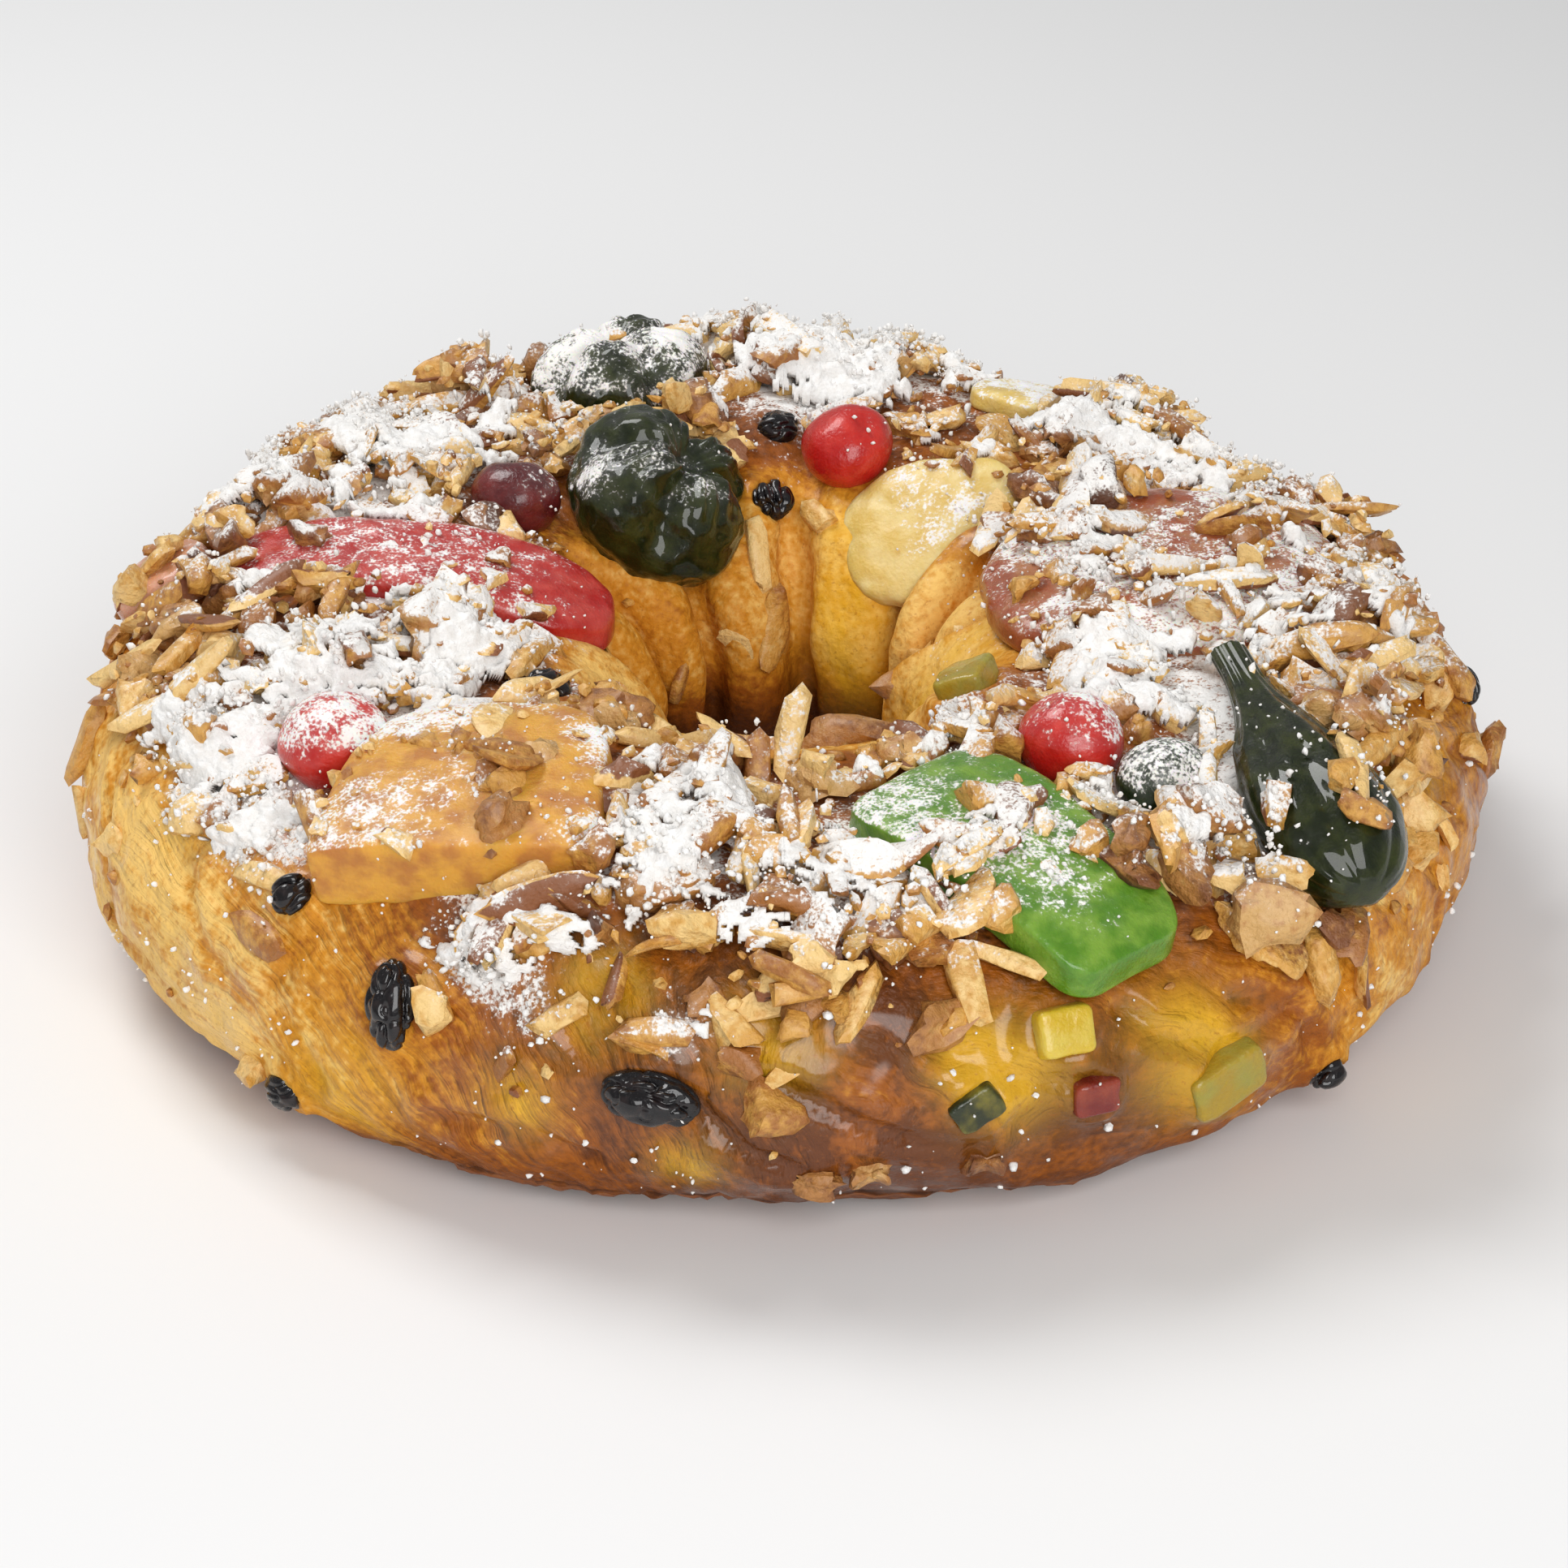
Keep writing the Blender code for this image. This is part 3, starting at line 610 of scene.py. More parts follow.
cherry_red = candied("cherry_red", (0.50, 0.012, 0.010), (0.62, 0.035, 0.022), (1.0, 0.12, 0.06))
cherry_maroon = candied("cherry_maroon", (0.09, 0.008, 0.010), (0.16, 0.015, 0.014), (0.7, 0.1, 0.08))
cherry_deep_green = candied("cherry_deep_green", (0.010, 0.022, 0.007), (0.020, 0.045, 0.012), (0.3, 0.5, 0.2))
cherry("cherry_left", cherry_red, 18 * MM, (217.5, 74), 1)
cherry("cherry_right", cherry_red, 17 * MM, (308.5, 90), 2)
cherry("cherry_back", cherry_red, 17 * MM, (77, 111), 3)
cherry("cherry_dark", cherry_maroon, 16 * MM, (149, 106), 4)
cherry("cherry_green", cherry_deep_green, 15.5 * MM, (311.5, 74), 5)


# ---------------------------------------------------------------------------------------------
# Slices of candied fruit: pumpkin, pear and melon, boiled in syrup and cut 5 to 12 mm thick.
# They are tacky, clear where they are thin, and bend over the crown as they settle in the bake.


def slab(node, material, size, place, spin=0, tip=0, outline=0.75, cut=1.0, taper=0.0,
         bow=0.0, sag=0.0, edge=0.4, bite=0.8 * MM, seed=1, dish=0.0):
    """A flat superellipsoid, cut at one end, tapered, bowed by two curvatures, with an uneven rim."""
    grid = lump(size, outline, edge, columns=110, rows=60)
    half = size[0] / 2
    limit = -cut * half
    grid[..., 0] = np.maximum(grid[..., 0], limit) + 0.12 * np.minimum(grid[..., 0] - limit, 0)
    grid[..., 1] *= 1 - taper * grid[..., 0] / half
    rim = np.hypot(grid[..., 0] / half, grid[..., 1] / (size[1] / 2))
    uneven = bite * crumpled(grid * np.array([1, 1, 0.3]), 9 * MM, seed)
    flat = unit(grid * np.array([1.0, 1.0, 0.0]))
    grid = grid + flat * (uneven * eased(rim, 0.5, 0.95))[..., None]
    grid[..., 2] += 0.35 * MM * crumpled(grid, 5 * MM, seed + 3) - dish * hump(rim, 0.7) * np.sign(grid[..., 2])
    grid[..., 2] -= (bow * grid[..., 0] ** 2 + sag * grid[..., 1] ** 2) / 2
    place_fruit(node, seated(node, grid, place, spin, 0, tip), material)


slice_finish = {
    "red": candied("slice_red", (0.44, 0.014, 0.012), (0.55, 0.06, 0.045), (1.0, 0.15, 0.1)),
    "rose": candied("slice_rose", (0.60, 0.26, 0.13), (0.70, 0.36, 0.24), (1.0, 0.4, 0.25)),
    "amber": candied("slice_amber", (0.72, 0.36, 0.05), (0.50, 0.20, 0.045), (1.0, 0.5, 0.12), 4 * MM, 0.5, 0.1),
    "green": candied("slice_green", (0.085, 0.23, 0.010), (0.20, 0.36, 0.035), (0.5, 1.0, 0.15)),
    "brown": candied("slice_brown", (0.34, 0.075, 0.022), (0.42, 0.17, 0.07), (0.8, 0.25, 0.1)),
    "pale": candied("slice_pale", (0.72, 0.50, 0.13), (0.82, 0.64, 0.27), (1.0, 0.8, 0.35), 5 * MM, 0.42, 0.2),
}
slab("slice_red", slice_finish["red"], (72 * MM, 24 * MM, 9 * MM), (174, 97), 88,
     outline=0.7, taper=-0.12, bow=11, sag=4, seed=21)
slab("slice_rose", slice_finish["rose"], (19 * MM, 18 * MM, 9 * MM), (175, 51),
     sag=10, seed=22)
slab("slice_amber", slice_finish["amber"], (50 * MM, 45 * MM, 12 * MM), (237, 75), 115,
     outline=0.55, cut=0.6, taper=0.08, bow=8, sag=5, edge=0.24, bite=0.6 * MM, seed=23)
slab("slice_green", slice_finish["green"], (52 * MM, 28 * MM, 7.5 * MM), (292.3, 69), 110,
     outline=0.32, taper=-0.1, bow=14, sag=3, seed=24, edge=0.2, bite=0.4 * MM)
slab("slice_brown", slice_finish["brown"], (62 * MM, 66 * MM, 11 * MM), (4, 94), 0, -4,
     outline=0.95, bow=4, sag=8, edge=0.5, seed=25, dish=3.2 * MM)
slab("slice_pale", slice_finish["pale"], (38 * MM, 28 * MM, 6 * MM), (53, 126), 50,
     outline=0.95, taper=-0.15, bow=11, sag=8, seed=26)
slab("slice_pale_back", slice_finish["pale"], (23 * MM, 18 * MM, 5 * MM), (58, 75), 10,
     bow=6, sag=6, seed=27)


# ---------------------------------------------------------------------------------------------
# Whole candied figs, deep green and soft. Two have slumped into lobes with grooves that run from
# the eye, and one lies on its side with its ribbed body wet with syrup and its stalk still on.

fig_skin = candied(
    "fig_skin", (0.009, 0.014, 0.003), (0.030, 0.038, 0.006), (0.4, 0.6, 0.2), 2 * MM, 0.4, 0.8, 0.05, 0.1
)


def folded_fig(node, size, place, spin, lean, seed):
    """A flattened ball whose radius dips at each groove, with fine folds that fan out from the eye."""
    grid = lump(size, columns=128, rows=80)
    turn = np.arctan2(grid[..., 1], grid[..., 0]) + 0.25 * rough(grid, 14 * MM, seed)
    reach = np.hypot(grid[..., 0], grid[..., 1]) / (size[0] / 2)
    upper = eased(grid[..., 2], -0.3 * size[2], 0.2 * size[2])
    groove = np.abs(np.cos(2 * turn)) ** 9 * eased(reach, 0.05, 0.6)
    folds = np.abs(np.sin(9 * turn + 2.2 * rough(grid, 9 * MM, seed + 1))) ** 2 * eased(reach, 0.1, 0.4)
    folds *= eased(-reach, -0.95, -0.55) * (grid[..., 2] > 0)
    depth = 0.22 * groove * upper + 0.06 * folds
    grid = grid * (1 - depth[..., None] * np.array([1.0, 1.0, 0.8]))
    grid[..., 2] -= np.where(grid[..., 2] > 0, 0.22 * size[2] * hump(reach, 0.28), 0)
    grid = grid + unit(grid) * (0.9 * MM * crumpled(grid, 6 * MM, seed + 2))[..., None]
    place_fruit(node, seated(node, grid, place, spin, lean), fig_skin)


folded_fig("fig_back", (36 * MM, 33 * MM, 24 * MM), (110.5, 76), 20, 0, 31)
folded_fig("fig_inner", (38 * MM, 36 * MM, 28 * MM), (124, 124), 45, -6, 32)


def stalked_fig(node, length, width, place, spin, tip):
    """A round body that narrows to a blunt stalk at +X: a radius along the run, ribbed round it."""
    run = 0.5 - 0.5 * np.cos(np.linspace(0, np.pi, 96))[:, None]
    body = np.sqrt(np.clip(1 - ((run - 0.3) / 0.31) ** 2, 0, 1))
    neck = 0.5 + 0.5 * np.cos(np.pi * np.clip((run - 0.3) / 0.62, 0, 1))
    radius = width / 2 * np.where(run < 0.3, body, 0.26 + 0.74 * neck)
    radius = radius * eased(-run, -1.0, -0.985) ** 0.5
    turn = np.linspace(0, 2 * np.pi, 96, endpoint=False)[None, :]
    swirl = turn + 0.5 * run
    ribs = 1 + 0.05 * np.cos(5 * turn) - 0.045 * np.abs(np.cos(5.5 * swirl)) ** 7 * eased(-run, -0.8, -0.2)
    ribs = ribs + 0.03 * np.sin(13 * turn) * eased(run, 0.35, 0.6)
    x = (run - 0.5) * length * np.ones_like(turn)
    grid = np.stack([x, radius * ribs * np.sin(turn), 0.82 * radius * ribs * np.cos(turn)], axis=-1)
    wrinkles = crumpled(grid * np.array([0.4, 1, 1]), 5 * MM, 33)
    grid = grid + np.array([0, 1, 1]) * unit(grid) * (0.7 * MM * wrinkles)[..., None]
    grid[[0, -1]] = grid[[0, -1]].mean(axis=1, keepdims=True)
    place_fruit(node, seated(node, grid, place, spin, 0, tip), fig_skin)


stalked_fig("fig_stalked", 59 * MM, 25 * MM, (323.5, 60), 57, 4)


# ---------------------------------------------------------------------------------------------
# Diced candied peel, cut in the bowl and folded into the dough, so most dice are half under the
# skin: citron, lemon and red fruit, each with worn edges.


def dice(node, material, size, place, spin, seed):
    """A box with round edges, dented a little: a superellipsoid with small exponents."""
    grid = lump(size, 0.3, 0.3, columns=48, rows=28)
    grid = grid + unit(grid) * (0.35 * MM * crumpled(grid, 4 * MM, seed))[..., None]
    place_fruit(node, seated(node, grid, place, spin), material)


citron = candied("citron", (0.40, 0.26, 0.018), (0.34, 0.29, 0.045), (0.8, 1.0, 0.2))
dark_peel = candied("dark_peel", (0.018, 0.024, 0.005), (0.20, 0.17, 0.016), (0.5, 0.8, 0.2))
lemon_peel = candied("lemon_peel", (0.62, 0.42, 0.025), (0.66, 0.50, 0.08), (1.0, 0.8, 0.2))
red_peel = candied("red_peel", (0.18, 0.014, 0.010), (0.30, 0.05, 0.02), (1.0, 0.2, 0.1))
dice("dice_citron_inner", citron, (11 * MM, 9 * MM, 7 * MM), (317, 124), 20, 41)
dice("dice_lemon_front", lemon_peel, (9 * MM, 7.5 * MM, 6 * MM), (290.5, 22.5), 0, 42)
dice("dice_red_front", red_peel, (8 * MM, 6 * MM, 6 * MM), (292.7, 4), 0, 43)
dice("dice_citron_side", citron, (14 * MM, 9 * MM, 6 * MM), (303.8, 358), 15, 44)
dice("dice_citron_front", dark_peel, (8 * MM, 6 * MM, 5 * MM), (283.8, 6), 30, 45)
dice("dice_lemon_rear", lemon_peel, (9 * MM, 8 * MM, 6 * MM), (62, 14), 20, 46)
dice("dice_red_rear", red_peel, (8 * MM, 7 * MM, 6 * MM), (118, 20), 40, 47)


# ---------------------------------------------------------------------------------------------
# Raisins, soaked and folded into the dough. The bake dries them black and glossy, with deep
# wrinkles, and draws the dough back round them.

raisin_skin = Finish("raisin_skin", {"Coat Roughness": 0.07, "Coat IOR": 1.5, "Specular IOR Level": 0.1})
bloom = raisin_skin.step(raisin_skin.noise(1.8 * MM, 3), 0.45, 0.75)
colour = raisin_skin.blend(bloom, (0.004, 0.003, 0.004), (0.016, 0.009, 0.009))
raisin_skin.done(colour, 0.3 + bloom * 0.2, raisin_skin.noise(0.8 * MM, 3) * (0.25 * MM), coat=0.9)


def raisin(node, size, place, spin, seed):
    """An egg shape drawn in along creases: ridged noise stretched along its length."""
    grid = lump(size, columns=110, rows=72)
    longest = np.array([0.4, 1.0, 1.0]) if size[0] > size[1] else np.array([1.0, 0.4, 1.0])
    stretched = grid * longest + 0.6 * MM * rough(grid, 3 * MM, seed + 2)[..., None]
    ridge = 1 - np.abs(rough(stretched, 3.2 * MM, seed))
    fine = 1 - np.abs(rough(stretched, 1.5 * MM, seed + 1))
    depth = 1.2 * MM * ridge**5 + 0.6 * MM * fine**4
    grid = grid - unit(grid) * depth[..., None]
    place_fruit(node, seated(node, grid, place, spin), raisin_skin.made)


raisin("raisin_front_left", (9 * MM, 15 * MM, 9 * MM), (239.3, 20), 8, 51)
raisin("raisin_front", (16 * MM, 9.5 * MM, 9 * MM), (260.3, 10), -8, 52)
raisin("raisin_crown_left", (9 * MM, 9 * MM, 8 * MM), (219.7, 114), 30, 53)
raisin("raisin_shoulder", (8 * MM, 7 * MM, 7 * MM), (227.6, 38), 60, 54)
raisin("raisin_base_left", (9 * MM, 7 * MM, 7 * MM), (228.5, 338), 10, 55)
raisin("raisin_back", (9 * MM, 8 * MM, 7 * MM), (91, 101), 20, 56)
raisin("raisin_hole", (9 * MM, 9 * MM, 8 * MM), (93.5, 128), 0, 57)
raisin("raisin_right", (9 * MM, 8 * MM, 7 * MM), (356, 30), 40, 58)
raisin("raisin_base_right", (8 * MM, 7 * MM, 7 * MM), (316.5, 338), 0, 59)
raisin("raisin_rear", (11 * MM, 9 * MM, 8 * MM), (86, 15), 25, 60)
raisin("raisin_rear_left", (10 * MM, 8 * MM, 7 * MM), (140, 8), 50, 61)
raisin("raisin_rear_right", (10 * MM, 9 * MM, 8 * MM), (32, 12), 10, 62)


# ---------------------------------------------------------------------------------------------
# Nuts: blanched and unblanched almonds, walnuts and hazelnuts, chopped unevenly and strewn over
# the glaze before the bake, which toasts them. They lie two or three deep on the crown.


def nut_finish(name, pale, golden, toasted, husk, coat=0.4):
    """Cut nut: its colour runs with the piece's tone, browner in patches and dark where it keeps skin."""
    finish = Finish(name, {"Coat Roughness": 0.3, "Coat IOR": 1.45})
    tone = finish.field("tone") + (finish.noise(1.8 * MM, 4) - 0.5) * 1.3
    colour = finish.blend(finish.step(tone, 0.05, 0.5), pale, golden)
    colour = finish.blend(finish.step(tone, 0.5, 1.05), colour, toasted)
    skin_mask = finish.step(finish.field("husk") + (finish.noise(1.1 * MM, 3) - 0.5) * 0.5, 0.4, 0.6)
    colour = finish.blend(skin_mask, colour, husk)
    height = finish.noise(1.3 * MM, 4) * (0.7 * MM) + finish.noise(0.35 * MM, 2) * (0.08 * MM)
    finish.done(colour, 0.5 + skin_mask * 0.1, height, coat=coat)
    return finish.made


almond_flesh = nut_finish(
    "almond_flesh", (0.86, 0.58, 0.22), (0.66, 0.34, 0.065), (0.36, 0.13, 0.022), (0.24, 0.075, 0.018)
)
walnut_flesh = nut_finish(
    "walnut_flesh", (0.62, 0.36, 0.12), (0.44, 0.19, 0.045), (0.20, 0.065, 0.016), (0.11, 0.034, 0.011)
)


def large_nut(node, material, size, place, spin, seed):
    """A rough angular lump: a boxy superellipsoid, folded by ridged noise and shaved by a few planes."""
    grid = lump(size, 0.85, 0.75, columns=72, rows=48)
    dice_rng = np.random.default_rng(seed)
    for plane in unit(dice_rng.normal(size=(6, 3))):
        limit = np.abs(grid @ plane).max() * 0.72
        grid = grid - np.maximum(grid @ plane - limit, 0)[..., None] * plane
    ridge = 1 - np.abs(rough(grid, 5.0 * MM, seed))
    grid = grid - unit(grid) * (1.1 * MM * ridge**4 - 0.4 * MM * crumpled(grid, 2.5 * MM, seed + 2))[..., None]
    made = seated(node, grid, place, spin)
    count = len(shell(made)[0])
    husk = 0.5 + 0.5 * rough(shell(grid)[0], 6 * MM, seed + 5)
    place_fruit(node, made, material, {"tone": np.full(count, 0.45), "husk": 0.6 * husk})


large_nut("walnut_front", walnut_flesh, (17 * MM, 15 * MM, 9 * MM), (259.5, 66), 15, 71)
large_nut("walnut_left", walnut_flesh, (13 * MM, 11 * MM, 8 * MM), (186, 59), 40, 72)
large_nut("walnut_back", walnut_flesh, (20 * MM, 13 * MM, 8 * MM), (77, 60), 5, 73)
large_nut("walnut_back_left", walnut_flesh, (15 * MM, 12 * MM, 8 * MM), (137, 64), 30, 74)
large_nut("almond_right", almond_flesh, (10 * MM, 19 * MM, 6 * MM), (309.3, 30), 25, 75)
large_nut("almond_stick", almond_flesh, (5.5 * MM, 17 * MM, 5 * MM), (313.5, 14), -4, 76)

# The height of the topping over the skin, kept on a grid of angles, starts from the fruit.
GRID_AROUND, GRID_ROLL = 960, 360
pile = np.zeros((GRID_AROUND, GRID_ROLL))
welcome = np.ones((GRID_AROUND, GRID_ROLL))  # how readily nuts lie at a place
fruit_cover = np.zeros((GRID_AROUND, GRID_ROLL))  # where smooth fruit sheds the sugar
NUTS_ON_FRUIT = {"cherry": 0.03, "fig": 0.04, "slice_amber": 0.28, "slice_green": 0.07, "slice_red": 0.10,
                 "slice_rose": 0.3, "slice_brown": 0.42, "slice_pale": 0.06, "dice": 0, "raisin": 0}


def cells(around, roll):
    """The grid cells that hold these angles."""
    i = np.floor(around / (2 * np.pi) * GRID_AROUND).astype(int) % GRID_AROUND
    return i, np.floor(roll / (2 * np.pi) * GRID_ROLL).astype(int) % GRID_ROLL


def closed_up(heights, reach=1):
    """Each cell takes the greatest height within this many cells, so that gaps between points close."""
    shifts = [(i, j) for i in range(-reach, reach + 1) for j in range(-reach, reach + 1)]
    return np.max([np.roll(heights, shift, (0, 1)) for shift in shifts], axis=0)


def stamp(points):
    """Raises the pile to these points."""
    around, roll, height = ring_place(points)
    spots = np.zeros_like(pile)
    np.maximum.at(spots, cells(around, roll), height)
    np.maximum(pile, closed_up(spots), out=pile)


for node, points in fruit_points:
    around, roll, height = ring_place(points)
    seen = height > 0.6 * MM
    spots = np.zeros_like(pile)
    spots[cells(around[seen], roll[seen])] = 1
    share = next((s for start, s in NUTS_ON_FRUIT.items() if node.startswith(start)), 0.3)
    margin = 10 if node.startswith(("raisin", "dice")) else 2
    welcome = np.where(closed_up(spots, margin) > 0, np.minimum(welcome, share), welcome)
    if not node.startswith(("walnut", "almond")):
        kept_clean = 0.4 if node == "slice_brown" else 1
        fruit_cover = np.maximum(fruit_cover, kept_clean * closed_up(spots, 2))
    stamp(points)

# Where nuts lie: how far down the outer side they reach, every 30 degrees, and how densely.
NUTS_DOWN_TO = np.array([42, 40, 40, 36, 34, 38, 34, 38, 46, 40, 34, 38.0])


def nut_density(around, roll):
    """From 0 to 1: full over the crown, thin on the outer side and in the hole, broken by noise."""
    degrees = np.degrees(roll)
    foot = periodic(NUTS_DOWN_TO, around)
    inner_foot = 131 - 12 * hump(turn_from(around, 272), 36)
    crown = eased(degrees, foot - 10, foot + 34) * eased(-degrees, -inner_foot, 26 - inner_foot)
    spots = dough_skin(around, roll)
    patchy = 0.72 + 0.55 * crumpled(spots, 17 * MM, 91)
    sides = 0.022 * eased(degrees, -12, 5) * eased(-degrees, -60, -40)
    hole = 0.03 * eased(degrees, 130, 140) * eased(-degrees, -190, -160)
    return (np.clip(crown * patchy, 0, 1) + sides + hole) * welcome[cells(around, roll)]


def strewn_places(count, rng):
    """Places drawn over the whole skin, evenly by area, and kept as often as the density says."""
    kept_around, kept_roll = np.empty(0), np.empty(0)
    while len(kept_around) < count:
        around, roll = rng.uniform(0, 2 * np.pi, 4 * count), rng.uniform(-0.3, 3.4, 4 * count)
        skin = dough_skin(around, roll)
        area = np.hypot(skin[:, 0], skin[:, 1]) / OUTER_REACH.max()
        chosen = rng.uniform(size=len(around)) < nut_density(around, roll) * area
        kept_around = np.concatenate([kept_around, around[chosen]])
        kept_roll = np.concatenate([kept_roll, roll[chosen]])
    return kept_around[:count], kept_roll[:count]


def nut_forms(kinds, outline, edge, cuts, keep, rng, columns=8, rows=6, bend=0.0, broken=0.12):
    """Several small shells of unit size: planes shave them, noise breaks them, and they taper and bend."""
    forms = []
    for number in range(kinds):
        grid = lump((1, 1, 1), outline, edge, columns, rows)
        for plane in unit(rng.normal(size=(cuts, 3))):
            limit = np.abs(grid @ plane).max() * rng.uniform(keep, keep + 0.25)
            grid = grid - np.maximum(grid @ plane - limit, 0)[..., None] * plane
        grid = grid + unit(grid) * (broken * crumpled(grid, 0.42, 200 + number, 2))[..., None]
        grid[..., 1:] *= 1 + rng.uniform(-0.7, 0.7) * grid[..., :1]
        grid[..., 2] += bend * rng.uniform(-1.0, 1.0) * (grid[..., 0] ** 2 - 0.1)
        grid[..., 1] += 0.5 * bend * rng.uniform(-1.0, 1.0) * (grid[..., 0] ** 2 - 0.1)
        points, faces = shell(grid)
        forms.append(points)
    return np.array(forms), faces


def softened(heights, spread_around, spread_roll):
    """The heights blurred by a bell curve, by way of the Fourier transform of the closed grid."""
    u, v = (np.fft.fftfreq(n)[:, None] for n in heights.shape)
    bell = np.exp(-2 * (np.pi * spread_around * u) ** 2) * np.exp(-2 * (np.pi * spread_roll * v.T) ** 2)
    return np.fft.ifft2(np.fft.fft2(heights) * bell).real


ROLL_REACH = 45 * MM  # about how far the skin is from the middle of the roll


class Heap:
    """Many small pieces of one kind, laid on the pile a batch at a time and made one mesh at the end."""

    def __init__(self, name, slot, material, forms, faces, seed):
        self.name, self.slot, self.material = name, slot, material
        self.forms, self.faces = forms, faces
        self.rng = np.random.default_rng(seed)
        self.points, self.tones, self.husks = [], [], []

    def lay(self, around, roll, sizes, spin, lean, tip, sink=0.35, over=None, husk_share=0.5):
        """Sets pieces at places. Each rests on the pile there, sunk in by a share of its thickness."""
        count = len(around)
        which = self.rng.integers(len(self.forms), size=count)
        local = self.forms[which]
        axes = axes_at(around, roll) @ turned(spin, lean, tip)
        placed = np.einsum("nij,nvj->nvi", axes, local * sizes[:, None, :])
        base = self.bed[cells(around, roll)] if over is None else over
        height = base + sizes[:, 2] * (0.5 - sink)
        placed = placed + lifted(around, roll, height)[:, None, :]
        placed[..., 2] = np.maximum(placed[..., 2], 0.0002)
        keeps_skin = self.rng.uniform(size=(count, 1)) < husk_share
        side = eased(local[..., 2] * self.rng.choice([-1, 1], size=(count, 1)), 0.12, 0.3)
        corners = np.linalg.norm(local, axis=-1)
        self.points.append(placed)
        self.husks.append(side * keeps_skin)
        self.tones.append(self.rng.uniform(-0.1, 1.0, (count, 1)) + 0.9 * (corners - corners.mean()))
        stamp(placed.reshape(-1, 3))

    def strew(self, count, longest, shares, sink=0.35, tilt=22.0, husk_share=0.5):
        """Lays pieces at random places, with sizes drawn between two lengths and flatness shares."""
        around, roll = strewn_places(count, self.rng)
        self.bed = softened(pile, 4, 2.5)
        length = self.rng.uniform(*longest, count) * MM
        sizes = length[:, None] * np.array(shares) * self.rng.uniform(0.8, 1.2, (count, 3))
        lean, tip = self.rng.normal(0, tilt, count), self.rng.normal(0, tilt, count)
        self.lay(around, roll, sizes, self.rng.uniform(0, 360, count), lean, tip, sink, None, husk_share)

    def set_by_hand(self, rows):
        """Lays single pieces. A row gives a solid to start from and the way from it, round the ring
        and up the roll, then length, width and thickness, all in mm, and spin, tip and lift."""
        for node, along, up, length, width, thickness, spin, tip, lift in rows:
            around, roll, _ = ring_place(np.mean(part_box(node), axis=0)[None])
            skin = dough_skin(around, roll)
            around = around + along * MM / np.hypot(skin[:, 0], skin[:, 1])
            roll = roll + up * MM / ROLL_REACH
            base = pile[cells(around, roll)] + lift * MM
            size = np.array([[length, width, thickness]]) * MM
            self.lay(around, roll, size, spin, 0, tip, 0.35, base, 0.1)

    def finish(self, sharp=None):
        """Joins all the pieces into one mesh. Edges that turn by more than `sharp` degrees are sharp."""
        points = np.concatenate(self.points)
        offsets = np.arange(len(points))[:, None, None] * points.shape[1]
        faces = [(f[None] + offsets).reshape(-1, f.shape[1]) for f in self.faces]
        fields = {"tone": np.concatenate(self.tones).ravel(), "husk": np.concatenate(self.husks).ravel()}
        return make_piece(self.name, None, points.reshape(-1, 3), faces, self.material, fields, sharp)


shape_rng = np.random.default_rng(7)
chunk_forms, chunk_faces = nut_forms(20, 0.6, 0.6, 5, 0.42, shape_rng, 11, 8, 0.5, 0.2)
stick_forms, stick_faces = nut_forms(14, 0.5, 0.5, 3, 0.6, shape_rng, 8, 8, 1.0)
flake_forms, flake_faces = nut_forms(12, 0.8, 0.6, 2, 0.6, shape_rng, 12, 6, 2.4)
kernel_forms, kernel_faces = nut_forms(20, 1.0, 1.0, 4, 0.5, shape_rng, 14, 9, 0.8, 0.34)

almond_chunks = Heap("almond_chunks", "almond", almond_flesh, chunk_forms, chunk_faces, 101)
almond_sticks = Heap("almond_sticks", "almond", almond_flesh, stick_forms, stick_faces, 102)
almond_flakes = Heap("almond_flakes", "almond", almond_flesh, flake_forms, flake_faces, 103)
walnut_bits = Heap("walnut_bits", "walnut", walnut_flesh, kernel_forms, kernel_faces, 104)
nut_crumbs = Heap("nut_crumbs", "almond", almond_flesh, *nut_forms(12, 1, 1, 4, 0.5, shape_rng, 6, 4), 105)

for batch in range(2):
    walnut_bits.strew(80, (7, 14), (1, 0.8, 0.65), husk_share=0.35)
    almond_chunks.strew(270, (5, 11), (1, 0.70, 0.55), tilt=28, husk_share=0.16)
    almond_sticks.strew(70, (10, 18), (1, 0.28, 0.22), tilt=20, husk_share=0.25)
    almond_flakes.strew(45, (10, 15), (1, 0.5, 0.16), tilt=26, husk_share=0.3)
    nut_crumbs.strew(700, (1.5, 3.8), (1, 0.75, 0.6), husk_share=0.15)

